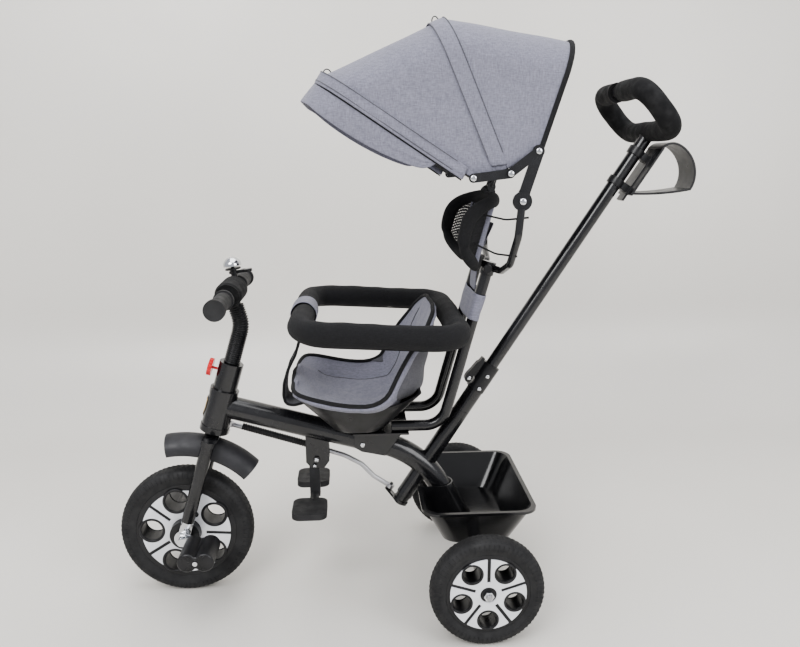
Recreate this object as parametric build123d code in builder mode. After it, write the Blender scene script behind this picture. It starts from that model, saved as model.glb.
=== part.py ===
from build123d import *
import os
from math import atan2, cos, degrees, radians, sin

os.makedirs("parts", exist_ok=True)

# Frame: +X forward, +Y to the rider's left, +Z up, ground at Z = 0, Y = 0 is the middle plane.

# ---- overall layout ----
front_axle_x = 422.0
wheelbase = 567.5
rear_track = 430.0
steer_tilt = 17.0
front_wheel_r = 130.0
rear_wheel_r = 102.5
clearance = 0.3
running_gap = 0.05
sheet = 2.0

# ---- wheels ----
front_tyre_w, front_tyre_inner_r = 44.0, 98.0
rear_tyre_w, rear_tyre_inner_r = 40.0, 75.0
spoke_count = 5
front_cover_r, front_bite_r, front_bite_at = 87.0, 23.0, 67.0
rear_cover_r, rear_bite_r, rear_bite_at = 68.0, 17.5, 49.5
cover_thick = 3.0
front_hub_r, rear_hub_r = 29.0, 14.0
crank_axle_r, rear_axle_r = 6.0, 5.0

# ---- fork, crank and pedals ----
leg_y, leg_r = 47.0, 12.5
leg_low, crown_low, crown_high = 38.0, 200.0, 209.0
dropout_eye_r, dropout_thick = 17.0, 6.0
crank_arm_r, crank_arm_inner_y, crank_arm_thick = 42.0, 60.5, 6.0
spindle_r = 4.5
pedal_width, pedal_lobe_r, pedal_lobe_spacing = 74.0, 18.0, 31.0
guard_r, guard_half_w, guard_drop = 199.7, 31.0, 36.0
guard_front_angle, guard_rear_angle = 9.0, 47.0
steerer_r, steerer_inner_r = 12.5, 11.0
cover_low, cover_step, cover_high = 214.0, 300.0, 356.0
head_cover_r, head_cover_top_r = 27.0, 23.0
head_tube_r, head_tube_inner_r = 19.0, 16.5

# ---- stem and handlebar ----
stem_r = 10.8
sleeve_r = 15.5
stem_bend_s, bar_f, bar_s = 434.0, 34.0, 489.0
bar_r, bar_half = 11.0, 172.0
grip_r, grip_cap_r, grip_inner_y = 15.5, 18.5, 82.0
bar_pad_r, bar_pad_half = 25.0, 52.0
bell_y, bell_tilt = -62.0, 8.0
knob_s, knob_r, knob_thick, knob_at = 337.0, 17.0, 8.0, 33.0

# ---- frame ----
tube_r, tube_wall = 22.5, 2.5
tube_slope = 15.6
tube_head_z = 385.6
tube_corner = (-466.6, 277.2)
tube_bend_r = 180.0
axle_tube_r, axle_tube_half = 12.5, 178.0

# ---- push handle ----
shaft_low = (-428.0, 177.0)
shaft_tilt = 32.8
push_r, shaft_r, socket_r = 12.5, 14.5, 16.5
socket_low, socket_high = 12.0, 225.0
collar_low, collar_high, collar_r = 273.0, 331.0, 17.5
push_low, push_high = 235.0, 848.0
loop_h, loop_w, loop_tube_r, loop_foam_r, loop_gap = 46.0, 116.0, 9.0, 18.5, 16.0
loop_rise = 50.0
lever_tip, lever_pin_r = (24.0, -34.0), 3.0
rod_arm_tip, rod_r, rod_level = (-24.0, -34.0), 5.0, 221.0

# ---- back posts and canopy arms ----
post_y, post_r, post_inner_r = 55.0, 10.5, 9.0
post_foot = (-503.5, 354.0)
post_tilt = 15.2
post_front_x = -407.0
post_top = 300.0
arm_pivot = (-621.0, 781.0)
arm_half_y = 163.0

# ---- seat, guard ring and soft pieces ----
seat_centre_x, seat_rim_z, seat_floor_z = -345.0, 432.0, 349.0
seat_rim_l, seat_rim_w, seat_floor_l, seat_floor_w = 216.0, 292.0, 98.0, 150.0
ring_front_x, ring_rear_x, ring_z, ring_fall = -246.0, -523.6, 560.0, 3.1
ring_half_w, ring_r, ring_tube_r = 183.0, 22.0, 9.0

# ---- basket ----
rim_l, rim_w, rim_z, basket_floor_z = 206.0, 286.0, 214.0, 140.0
basket_floor_l, basket_floor_w, basket_wall = 132.0, 232.0, 3.0

# ---- footrest ----
footrest_pivot = (-261.0, 272.0)
foot_pad_l, foot_pad_w, foot_pad_h, foot_pad_y, foot_pad_z = 66.0, 72.0, 12.0, 72.0, 196.0

# ---- canopy ----
hub_point, front_link_end, rear_link_end = (-600.0, 826.0), (-539.0, 819.0), (-647.0, 862.0)
bow_r, bow_bend, cover_skin = 3.0, 60.0, 3.0


def world(x, z, y=0.0):
    """A point given by its distance ahead of the front axle, its height and its side."""
    return Vector(front_axle_x + x, y, z)


def side_plane(x, z, tilt, y=0.0):
    """A side-view plane whose local Y leans back from the vertical by tilt, seen from the right."""
    return Plane(
        origin=world(x, z, y),
        x_dir=(cos(radians(tilt)), 0, sin(radians(tilt))),
        z_dir=(0, -1, 0),
    )


def leaning_plane(x, z, tilt):
    """A plane square to an axis that leans back from the vertical by tilt."""
    return Plane(
        origin=world(x, z),
        x_dir=(cos(radians(tilt)), 0, sin(radians(tilt))),
        z_dir=(-sin(radians(tilt)), 0, cos(radians(tilt))),
    )


side = side_plane(0, 0, 0)
steer = leaning_plane(0, front_wheel_r, steer_tilt)
steer_side = side_plane(0, front_wheel_r, steer_tilt)
shaft = leaning_plane(shaft_low[0], shaft_low[1], shaft_tilt)
post = leaning_plane(post_foot[0], post_foot[1], post_tilt)


def save(name, part):
    part.label = name
    export_step(part, f"parts/{name}.step")


def tube_along(points, bends, outer_r, inner_r=0.0):
    """A round tube or rod along straight runs joined by arcs, one bend radius for each corner."""
    with BuildPart() as tube:
        with BuildLine() as path:
            if bends:
                FilletPolyline(*points, radius=bends)
            else:
                Line(*points)
        with BuildSketch(Plane(origin=path.line @ 0, z_dir=path.line % 0)):
            Circle(outer_r)
            if inner_r:
                Circle(inner_r, mode=Mode.SUBTRACT)
        sweep()
    return tube.part


def rod_between(start, end, outer_r, inner_r=0.0):
    return tube_along([start, end], None, outer_r, inner_r)


def ring_plane(x, z, y):
    """A plane square to the Y axis, facing +Y."""
    return Plane(origin=world(x, z, y), x_dir=(1, 0, 0), z_dir=(0, 1, 0))


def disc(x, z, y, thick, outer_r, inner_r=0.0):
    """A washer with its axis along Y that starts at y and grows towards +Y."""
    with BuildPart() as washer:
        with BuildSketch(ring_plane(x, z, y)):
            Circle(outer_r)
            if inner_r:
                Circle(inner_r, mode=Mode.SUBTRACT)
        extrude(amount=thick)
    return washer.part


# ---------------------------------------------------------------- wheels
def make_tyre(name, x, r, y, width, inner_r):
    crown = 5.0
    with BuildPart() as tyre:
        with BuildSketch(Plane(origin=world(x, r, y), x_dir=(0, 1, 0), z_dir=(1, 0, 0))):
            with BuildLine():
                Polyline((-width / 2, r - 16), (-width / 2 + 4, inner_r), (width / 2 - 4, inner_r))
                Line((width / 2 - 4, inner_r), (width / 2, r - 16))
                Spline(
                    (width / 2, r - 16), (width / 2 - 3.5, r - crown), (0, r),
                    (-width / 2 + 3.5, r - crown), (-width / 2, r - 16),
                )
            make_face()
        revolve(axis=Axis(world(x, r, y), (0, 1, 0)))
    save(name, tyre.part)


def make_rim(name, x, r, y, width, outer_r, bite_r, bite_at, bore_r, hub_r, hub_half):
    """The moulded wheel body, with a round window at each bite and a hub barrel."""
    web_half = width / 2 - cover_thick - 1
    with BuildPart() as rim:
        with BuildSketch(ring_plane(x, r, y - web_half)):
            Circle(outer_r)
            with PolarLocations(bite_at, spoke_count, start_angle=window_angle):
                Circle(bite_r - 1.5, mode=Mode.SUBTRACT)
        extrude(amount=2 * web_half)
        with BuildSketch(ring_plane(x, r, y - hub_half)):
            Circle(hub_r)
        extrude(amount=2 * hub_half)
        with BuildSketch(ring_plane(x, r, y - hub_half - 1)):
            Circle(bore_r)
        extrude(amount=2 * hub_half + 2, mode=Mode.SUBTRACT)
    save(name, rim.part)


def make_cover(name, x, r, faces, outer_r, bite_r, bite_at, slot_w, hub_r):
    """Star-shaped cover plates: five round bites, five slots, and a hub opening."""
    slot_in, slot_out = hub_r + 10, outer_r + 2
    with BuildPart() as cover:
        for y in faces:
            with BuildSketch(ring_plane(x, r, y)):
                Circle(outer_r)
                Circle(hub_r + 0.5, mode=Mode.SUBTRACT)
                with PolarLocations(bite_at, spoke_count, start_angle=window_angle):
                    Circle(bite_r, mode=Mode.SUBTRACT)
                with PolarLocations(
                    (slot_in + slot_out) / 2, spoke_count, start_angle=window_angle + slot_turn
                ):
                    Rectangle(slot_out - slot_in, slot_w, mode=Mode.SUBTRACT)
            extrude(amount=cover_thick)
    save(name, cover.part)


slot_turn = 180 / spoke_count
window_angle = -76.0
make_tyre("front_tyre", 0, front_wheel_r, 0, front_tyre_w, front_tyre_inner_r)
make_rim(
    "front_rim", 0, front_wheel_r, 0, front_tyre_w, front_tyre_inner_r,
    front_bite_r, front_bite_at, crank_axle_r + running_gap, front_hub_r, leg_y - 9.5,
)
make_cover(
    "front_covers", 0, front_wheel_r, (front_tyre_w / 2 - cover_thick - 1, 1 - front_tyre_w / 2),
    front_cover_r, front_bite_r, front_bite_at, 6.5, front_hub_r,
)

window_angle = -54.0
for hand, out in (("left", 1), ("right", -1)):
    wheel_y = out * rear_track / 2
    make_tyre(
        f"rear_tyre_{hand}", -wheelbase, rear_wheel_r, wheel_y, rear_tyre_w, rear_tyre_inner_r
    )
    make_rim(
        f"rear_rim_{hand}", -wheelbase, rear_wheel_r, wheel_y, rear_tyre_w, rear_tyre_inner_r,
        rear_bite_r, rear_bite_at, rear_axle_r + running_gap, rear_hub_r, 18.0,
    )
    make_cover(
        f"rear_cover_{hand}", -wheelbase, rear_wheel_r,
        (wheel_y + rear_tyre_w / 2 - cover_thick - 1, wheel_y - rear_tyre_w / 2 + 1),
        rear_cover_r, rear_bite_r, rear_bite_at, 6.0, rear_hub_r,
    )


def make_clutch_pin():
    """The spring pin on the front wheel that locks the crank to the wheel."""
    pin_at, pin_angle = 44.0, 60.0
    x = -pin_at * cos(radians(pin_angle))
    z = front_wheel_r + pin_at * sin(radians(pin_angle))
    base = front_tyre_w / 2 - 1 + clearance
    with BuildPart() as pin:
        with BuildSketch(ring_plane(x, z, base)):
            Circle(3.5)
        extrude(amount=2.5)
        with BuildSketch(ring_plane(x, z, base + 2.5)):
            Circle(5.0)
        extrude(amount=3.0)
        fillet(pin.edges().group_by(Axis.Y)[-1], 1.0)
    save("clutch_pin", pin.part)


make_clutch_pin()


# ---------------------------------------------------------------- crank and pedals
def make_crankshaft():
    """One bent axle: a straight shaft through the hub, an arm each side and two spindles."""
    outer_y = crank_arm_inner_y + crank_arm_thick
    with BuildPart() as crank:
        with BuildSketch(ring_plane(0, front_wheel_r, -outer_y)):
            Circle(crank_axle_r)
        extrude(amount=2 * outer_y)
        for out in (1, -1):
            start = crank_arm_inner_y if out > 0 else -outer_y
            with BuildSketch(ring_plane(-out * crank_arm_r / 2, front_wheel_r, start)):
                SlotCenterToCenter(crank_arm_r, 16)
            extrude(amount=crank_arm_thick)
            tip = outer_y if out > 0 else -outer_y - pedal_width - 4
            with BuildSketch(ring_plane(-out * crank_arm_r, front_wheel_r, tip)):
                Circle(spindle_r)
            extrude(amount=pedal_width + 4)
    save("crankshaft", crank.part)


def make_pedal(name, out):
    """A block pedal: two round treads joined by a web with a bore for the spindle."""
    start = crank_arm_inner_y + crank_arm_thick + 1.5
    y = start if out > 0 else -start - pedal_width
    x = -out * crank_arm_r
    with BuildPart() as pedal:
        with BuildSketch(ring_plane(x, front_wheel_r, y)):
            with Locations((-pedal_lobe_spacing / 2, 0), (pedal_lobe_spacing / 2, 0)):
                Circle(pedal_lobe_r)
            Rectangle(pedal_lobe_spacing, 1.3 * pedal_lobe_r)
            Circle(spindle_r + running_gap, mode=Mode.SUBTRACT)
        extrude(amount=pedal_width)
        for face in (pedal.faces().sort_by(Axis.Y)[0], pedal.faces().sort_by(Axis.Y)[-1]):
            chamfer(face.outer_wire().edges(), 2.0)
    save(name, pedal.part)


make_crankshaft()
make_pedal("pedal_left", 1)
make_pedal("pedal_right", -1)


# ---------------------------------------------------------------- fork
def make_fork():
    """Two straight legs under a crown plate, with the steering column above it."""
    with BuildPart() as fork:
        with BuildSketch(steer.offset(leg_low)):
            with Locations((0, leg_y), (0, -leg_y)):
                Circle(leg_r)
        extrude(amount=crown_high - leg_low)
        with BuildSketch(steer.offset(crown_low)):
            SlotCenterToCenter(2 * leg_y, 2 * leg_r + 3, rotation=90)
        extrude(amount=crown_high - crown_low)
        with BuildSketch(steer.offset(crown_high)):
            Circle(steerer_r)
        extrude(amount=cover_high - crown_high)
        with BuildSketch(steer.offset(crown_high + 60)):
            Circle(steerer_inner_r)
        extrude(amount=cover_high - crown_high - 60, mode=Mode.SUBTRACT)
        with BuildSketch(steer.offset(crown_low + 2)):
            with Locations((rod_arm_tip[0] + 9, rod_arm_tip[1])):
                Rectangle(24, 14)
        extrude(amount=4)
    save("fork", fork.part)


def make_dropouts():
    """Chrome leg ends, pinched flat into an eye that carries the crank axle."""
    with BuildPart() as ends:
        for out in (1, -1):
            y = out * leg_y - dropout_thick / 2
            with BuildSketch(ring_plane(0, front_wheel_r, y)):
                Circle(dropout_eye_r)
                Circle(crank_axle_r + running_gap, mode=Mode.SUBTRACT)
            extrude(amount=dropout_thick)
            with BuildSketch(steer.offset(leg_low)):
                with Locations((0, out * leg_y)):
                    Circle(leg_r - 1)
            with BuildSketch(steer.offset(crank_axle_r + 6)):
                with Locations((0, out * leg_y)):
                    RectangleRounded(24, dropout_thick, 2.5)
            loft()
    save("fork_dropouts", ends.part)


def make_axle_nuts():
    """The two domed nuts outside the fork ends."""
    with BuildPart() as nuts:
        for out in (1, -1):
            base = leg_y + dropout_thick / 2
            y = base if out > 0 else -base - 7
            with BuildSketch(ring_plane(0, front_wheel_r, y)):
                RegularPolygon(10.5, 6)
                Circle(crank_axle_r + running_gap, mode=Mode.SUBTRACT)
            extrude(amount=7)
    save("front_axle_nuts", nuts.part)


def make_mudguard():
    """A gutter-shaped guard turned about the front axle, with rounded rear corners."""
    thick, brim = 2.5, 9.0
    lean = radians(guard_front_angle)
    low, half = guard_r - guard_drop, guard_half_w
    with BuildPart() as guard:
        with BuildSketch(
            Plane(
                origin=world(0, front_wheel_r), x_dir=(0, 1, 0), z_dir=(cos(lean), 0, -sin(lean))
            )
        ):
            with BuildLine():
                Spline(
                    (-half, low), (-half * 0.72, guard_r - brim), (0, guard_r),
                    (half * 0.72, guard_r - brim), (half, low),
                )
                Line((half, low), (half - thick, low))
                Spline(
                    (half - thick, low), (half * 0.72 - thick, guard_r - brim - thick * 0.7),
                    (0, guard_r - thick), (-half * 0.72 + thick, guard_r - brim - thick * 0.7),
                    (-half + thick, low),
                )
                Line((-half + thick, low), (-half, low))
            make_face()
        revolve(
            axis=Axis(world(0, front_wheel_r), (0, -1, 0)),
            revolution_arc=guard_front_angle + guard_rear_angle,
        )
    save("mudguard", guard.part)


make_fork()
make_dropouts()
make_axle_nuts()
make_mudguard()


# ---------------------------------------------------------------- stem and handlebar
def make_stem():
    """A tube up from the steering column that leans forward to the handlebar."""
    low = cover_high - 60
    points = [
        steer.from_local_coords(Vector(0, 0, low)),
        steer.from_local_coords(Vector(0, 0, stem_bend_s)),
        steer.from_local_coords(Vector(bar_f, 0, bar_s)),
    ]
    with BuildPart() as stem:
        add(tube_along(points, [55.0], stem_r, stem_r - sheet))
        with BuildSketch(ring_plane(*bar_place(), -bar_half)):
            Circle(bar_r)
        extrude(amount=2 * bar_half, mode=Mode.SUBTRACT)
    save("stem", max_solid(stem.part))
    bar_end = Vector(bar_f, 0, bar_s) - Vector(0, 0, stem_bend_s)
    reach = (bar_end.length - bar_pad_r - 1) / bar_end.length
    points[0] = steer.from_local_coords(Vector(0, 0, cover_high + clearance))
    points[2] = steer.from_local_coords(
        Vector(bar_f * reach, 0, stem_bend_s + (bar_s - stem_bend_s) * reach)
    )
    save("stem_sleeve", tube_along(points, [55.0], sleeve_r, stem_r))


def max_solid(part):
    """The largest solid of a part, without the offcut a trim leaves."""
    return Part(part.solids().sort_by(SortBy.VOLUME)[-1].wrapped)


def bar_place():
    place = steer.from_local_coords(Vector(bar_f, 0, bar_s))
    return place.X - front_axle_x, place.Z


def make_handlebar():
    x, z = bar_place()
    save("handlebar", disc(x, z, -bar_half, 2 * bar_half, bar_r, bar_r - sheet))
    with BuildPart() as pad:
        with BuildSketch(ring_plane(x, z, -bar_pad_half)):
            Circle(bar_pad_r)
            Circle(bar_r, mode=Mode.SUBTRACT)
        extrude(amount=2 * bar_pad_half)
        fillet(pad.edges().filter_by(GeomType.CIRCLE).sort_by(SortBy.RADIUS)[-2:], 6)
        lean = Vector(-bar_f, 0, stem_bend_s - bar_s).normalized()
        with BuildSketch(stem_socket(lean)):
            Circle(stem_r)
        extrude(amount=bar_pad_r + 5, mode=Mode.SUBTRACT)
    save("handlebar_pad", pad.part)
    with BuildPart() as grip:
        for out in (1, -1):
            inner, outer = grip_inner_y, bar_half + 5
            with BuildSketch(ring_plane(x, z, inner if out > 0 else -outer)):
                Circle(grip_r)
            extrude(amount=outer - inner)
            with BuildSketch(ring_plane(x, z, inner if out > 0 else -inner - 6)):
                Circle(grip_cap_r)
            extrude(amount=6)
            with BuildSketch(ring_plane(x, z, outer - 10 if out > 0 else -outer)):
                Circle(grip_cap_r)
            extrude(amount=10)
            with BuildSketch(ring_plane(x, z, inner if out > 0 else -bar_half)):
                Circle(bar_r)
            extrude(amount=bar_half - inner, mode=Mode.SUBTRACT)
    save("grips", grip.part)


def stem_socket(lean):
    """A plane at the handlebar centre that faces down the stem."""
    direction = steer.from_local_coords(lean) - steer.from_local_coords(Vector(0, 0, 0))
    return Plane(origin=steer.from_local_coords(Vector(bar_f, 0, bar_s)), z_dir=direction)


def make_bell():
    """A clamp base, a chrome dome on a post and a thumb lever that turns on its own pin."""
    x, z = bar_place()
    up = Plane(
        origin=world(x, z, bell_y),
        x_dir=(cos(radians(bell_tilt)), 0, -sin(radians(bell_tilt))),
        z_dir=(sin(radians(bell_tilt)), 0, cos(radians(bell_tilt))),
    )
    with BuildPart() as base:
        with BuildSketch(ring_plane(x, z, bell_y - 7)):
            Circle(bar_r + 3)
            Circle(bar_r, mode=Mode.SUBTRACT)
        extrude(amount=14)
        with BuildSketch(up.offset(bar_r + 1.5)):
            Circle(6)
        extrude(amount=22)
        with BuildSketch(up.offset(bar_r + 23)):
            Circle(15)
        extrude(amount=3)
        with BuildSketch(up.offset(bar_r + 26)):
            Circle(3)
        extrude(amount=19)
    save("bell_base", base.part)
    with BuildPart() as dome:
        with BuildSketch(Plane(origin=up.offset(bar_r + 30).origin, x_dir=up.x_dir, z_dir=(0, -1, 0))):
            with BuildLine():
                Spline((17.5, 0), (16.5, 7), (11, 14), (0, 17), tangents=((0, 1), (-1, 0)))
                Line((0, 17), (0, 15.3))
                Spline((0, 15.3), (10.2, 12.5), (15, 6.2), (16, 0), tangents=((1, 0), (0, -1)))
                Line((16, 0), (17.5, 0))
            make_face()
        revolve(axis=Axis(up.origin, up.z_dir))
        with BuildSketch(up.offset(bar_r + 40)):
            Circle(3)
        extrude(amount=10, mode=Mode.SUBTRACT)
    save("bell_dome", dome.part)
    with BuildPart() as lever:
        with BuildSketch(up.offset(bar_r + 15)):
            Circle(9)
            with Locations((-17, 0)):
                Rectangle(22, 8)
            with Locations((-28, 0)):
                Circle(8)
            Circle(6 + running_gap, mode=Mode.SUBTRACT)
        extrude(amount=5)
    save("bell_lever", lever.part)


make_stem()
make_handlebar()
make_bell()


# ---------------------------------------------------------------- frame
def tube_point(x):
    """Height of the main tube's centre line ahead of its bend."""
    return tube_head_z + (x + 78.1) * sin(radians(tube_slope)) / cos(radians(tube_slope))


def make_frame():
    """Head tube, main tube swept down to the rear axle, and the cross tube for the axle."""
    main_path = [
        world(-78.1, tube_head_z), world(tube_corner[0], tube_corner[1]),
        world(-wheelbase + 8, rear_wheel_r + 6),
    ]
    with BuildPart() as frame:
        add(tube_along(main_path, [tube_bend_r], tube_r, tube_r - tube_wall))
        with BuildSketch(ring_plane(-wheelbase, rear_wheel_r, -axle_tube_half)):
            Circle(axle_tube_r)
        extrude(amount=2 * axle_tube_half)
        with BuildSketch(steer.offset(cover_low + 4)):
            Circle(head_tube_r)
        extrude(amount=cover_high - cover_low - 10)
        with BuildSketch(steer.offset(cover_low)):
            Circle(head_tube_inner_r)
        extrude(amount=cover_high - cover_low, mode=Mode.SUBTRACT)
        with BuildSketch(shaft.offset(socket_low)):
            Circle(socket_r)
        extrude(amount=socket_high - socket_low, mode=Mode.SUBTRACT)
        with BuildSketch(ring_plane(-wheelbase, rear_wheel_r, -axle_tube_half - 1)):
            Circle(rear_axle_r)
        extrude(amount=2 * axle_tube_half + 2, mode=Mode.SUBTRACT)
    save("main_frame", frame.part)
    with BuildPart() as socket:
        with BuildSketch(shaft.offset(socket_low)):
            Circle(socket_r)
            Circle(shaft_r + running_gap, mode=Mode.SUBTRACT)
        extrude(amount=socket_high - socket_low)
    save("handle_socket", socket.part)


def make_head_cover():
    """The moulded cover around the head tube, stepped at mid height and lipped at its foot."""
    with BuildPart() as cover:
        with BuildSketch(steer.offset(cover_low)):
            Circle(head_cover_r)
        extrude(amount=cover_step - cover_low)
        with BuildSketch(steer.offset(cover_low)):
            Circle(head_cover_r + 1.5)
        extrude(amount=12)
        with BuildSketch(steer.offset(cover_step)):
            Circle(head_cover_top_r)
        extrude(amount=cover_high - cover_step)
        with BuildSketch(steer.offset(cover_step - 10)):
            Circle(head_cover_r + 0.8)
        extrude(amount=12)
        with BuildSketch(steer.offset(cover_low + 3)):
            Circle(head_tube_r)
        extrude(amount=cover_high - cover_low - 6, mode=Mode.SUBTRACT)
        with BuildSketch(steer.offset(cover_low)):
            Circle(steerer_r + clearance)
        extrude(amount=cover_high - cover_low, mode=Mode.SUBTRACT)
        add(rod_between(world(-78.1, tube_head_z), world(-200, tube_point(-200)), tube_r),
            mode=Mode.SUBTRACT)
    save("head_cover", max_solid(cover.part))
    with BuildPart() as bushes:
        for low in (cover_low + 4, cover_high - 18):
            with BuildSketch(steer.offset(low)):
                Circle(head_tube_inner_r)
                Circle(steerer_r + running_gap, mode=Mode.SUBTRACT)
            extrude(amount=12)
    save("head_bushes", bushes.part)


def make_knob():
    """A round knob on a threaded rod that screws into the front of the head cover."""
    with BuildPart() as knob:
        start = steer.from_local_coords(Vector(knob_at, 0, knob_s))
        with BuildSketch(Plane(origin=start, x_dir=(0, 1, 0), z_dir=steer.x_dir)):
            Circle(knob_r)
            with PolarLocations(knob_r + 2.5, 8):
                Circle(4, mode=Mode.SUBTRACT)
        extrude(amount=knob_thick)
        rod = steer.from_local_coords(Vector(head_cover_top_r + clearance, 0, knob_s))
        with BuildSketch(Plane(origin=rod, x_dir=(0, 1, 0), z_dir=steer.x_dir)):
            Circle(2.5)
        extrude(amount=knob_at - head_cover_top_r)
    save("steering_knob", knob.part)


def make_badge():
    """A plain shield plate on the front left of the head cover."""
    wrap = 0.8
    with BuildPart() as badge:
        with BuildSketch(steer.offset(cover_low + 22)):
            Circle(head_cover_r + wrap)
            Circle(head_cover_r, mode=Mode.SUBTRACT)
        extrude(amount=44)
        flat = Plane(origin=steer.from_local_coords(Vector(0, 0, cover_low + 22)),
                     x_dir=(0, 1, 0), z_dir=steer.x_dir)
        with BuildSketch(flat):
            with BuildLine():
                Polyline((-12, 44), (12, 44), (12, 24))
                Spline((12, 24), (7, 8), (0, 0), tangents=((0, -1), (-1, -0.8)))
                Spline((0, 0), (-7, 8), (-12, 24), tangents=((-1, 0.8), (0, 1)))
                Line((-12, 24), (-12, 44))
            make_face()
        extrude(amount=head_cover_r + 5, mode=Mode.INTERSECT)
    save("head_badge", badge.part)


def make_shaft():
    """The steering shaft inside the socket, with its foot lever and the clamp collar on top."""
    with BuildPart() as tube:
        with BuildSketch(shaft):
            Circle(shaft_r)
            Circle(push_r + running_gap, mode=Mode.SUBTRACT)
        extrude(amount=collar_high - 4)
        with BuildSketch(shaft.offset(-6)):
            Circle(shaft_r + 2)
        extrude(amount=6)
        with BuildSketch(shaft.offset(socket_high + clearance)):
            Circle(shaft_r + 2)
            Circle(shaft_r, mode=Mode.SUBTRACT)
        extrude(amount=collar_low - socket_high - 2 * clearance)
        reach = Vector(lever_tip[0], lever_tip[1])
        with BuildSketch(shaft.offset(-10)):
            with Locations((reach.X / 2, reach.Y / 2)):
                SlotCenterToCenter(
                    reach.length, 14, rotation=degrees(atan2(reach.Y, reach.X))
                )
            Circle(9)
        extrude(amount=4)
        with BuildSketch(shaft.offset(-6)):
            with Locations((reach.X, reach.Y)):
                Circle(lever_pin_r)
        extrude(amount=14)
    save("steering_shaft", tube.part)
    with BuildPart() as collar:
        with BuildSketch(shaft.offset(collar_low)):
            Circle(collar_r)
            with Locations((12, 0)):
                Rectangle(18, 13)
        extrude(amount=collar_high - collar_low)
        with BuildSketch(shaft.offset(collar_low)):
            Circle(shaft_r)
        extrude(amount=collar_high - collar_low - 4, mode=Mode.SUBTRACT)
        with BuildSketch(shaft.offset(collar_low)):
            Circle(push_r + running_gap)
        extrude(amount=collar_high - collar_low, mode=Mode.SUBTRACT)
        lever_pin = shaft.from_local_coords(Vector(25, 0, collar_low + 13))
        with BuildSketch(Plane(origin=lever_pin + Vector(0, -10, 0), x_dir=(1, 0, 0), z_dir=(0, 1, 0))):
            Circle(11)
        extrude(amount=20, mode=Mode.SUBTRACT)
        with BuildSketch(shaft.offset(collar_low - 1)):
            with Locations((26, 0)):
                Rectangle(14, 30)
        extrude(amount=collar_high - collar_low + 2, mode=Mode.SUBTRACT)
    save("clamp_collar", collar.part)
    with BuildPart() as clamp:
        with BuildSketch(Plane(origin=shaft.origin + Vector(0, -7, 0), x_dir=shaft.x_dir, z_dir=(0, 1, 0))):
            with BuildLine():
                Spline(
                    (24, -collar_low - 4), (33, -collar_low - 12), (31, -collar_low - 30),
                    (28, -collar_low - 50), (25, -collar_low - 62),
                    tangents=((1, 0), (-0.1, -1)),
                )
                Line((25, -collar_low - 62), (19.3, -collar_low - 62))
                Line((19.3, -collar_low - 62), (19.3, -collar_low - 6))
                Line((19.3, -collar_low - 6), (24, -collar_low - 4))
            make_face()
        extrude(amount=14)
    save("clamp_lever", clamp.part)



make_frame()
make_head_cover()
make_knob()
make_badge()
make_shaft()


# ---------------------------------------------------------------- rear axle
def make_rear_axle():
    """The axle rod, and the nuts, spacers and bolts that hold the frame's pieces together."""
    hub_half, nut_thick, tip = 18.0, 8.0, 12.0
    end = rear_track / 2 + hub_half + tip
    save("rear_axle", disc(-wheelbase, rear_wheel_r, -end, 2 * end, rear_axle_r))
    inner, outer = rear_track / 2 - hub_half - clearance, rear_track / 2 + hub_half + clearance
    with BuildPart() as fittings:
        for low, high, r in (
            (axle_tube_half, inner, 8.0), (-inner, -axle_tube_half, 8.0),
            (outer, outer + nut_thick, 9.5), (-outer - nut_thick, -outer, 9.5),
        ):
            with BuildSketch(ring_plane(-wheelbase, rear_wheel_r, low)):
                RegularPolygon(r, 6)
                Circle(rear_axle_r, mode=Mode.SUBTRACT)
            extrude(amount=high - low)
    save("frame_fasteners", fittings.part)


make_rear_axle()


# ---------------------------------------------------------------- push handle
def loop_plane():
    """The handle loop's plane, its local X across the tricycle and its local Y up the loop."""
    foot = shaft.from_local_coords(Vector(0, 0, push_high + loop_tube_r))
    up = Vector(cos(radians(loop_rise)), 0, sin(radians(loop_rise)))
    return Plane(origin=foot + up * loop_h, x_dir=(0, 1, 0), z_dir=(up.Z, 0, -up.X))


def loop_points(end_gap):
    plane = loop_plane()
    outline = [
        (end_gap, loop_h), (loop_w, loop_h), (loop_w, -loop_h),
        (-loop_w, -loop_h), (-loop_w, loop_h), (-end_gap, loop_h),
    ]
    return [plane.from_local_coords(Vector(a, b, 0)) for a, b in outline]


def make_push_handle():
    corner = loop_h - 5
    loop = tube_along(loop_points(loop_gap), [corner] * 4, loop_tube_r)
    with BuildPart() as tube:
        with BuildSketch(shaft.offset(push_low)):
            Circle(push_r)
            Circle(push_r - sheet, mode=Mode.SUBTRACT)
        extrude(amount=push_high - push_low + loop_tube_r)
        add(loop)
    save("push_tube", tube.part)
    with BuildPart() as foam:
        add(tube_along(loop_points(loop_gap), [corner] * 4, loop_foam_r, loop_tube_r))
        with BuildSketch(shaft.offset(push_high - 40)):
            Circle(push_r)
        extrude(amount=60, mode=Mode.SUBTRACT)
    save("handle_foam", max_solid(foam.part))


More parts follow.
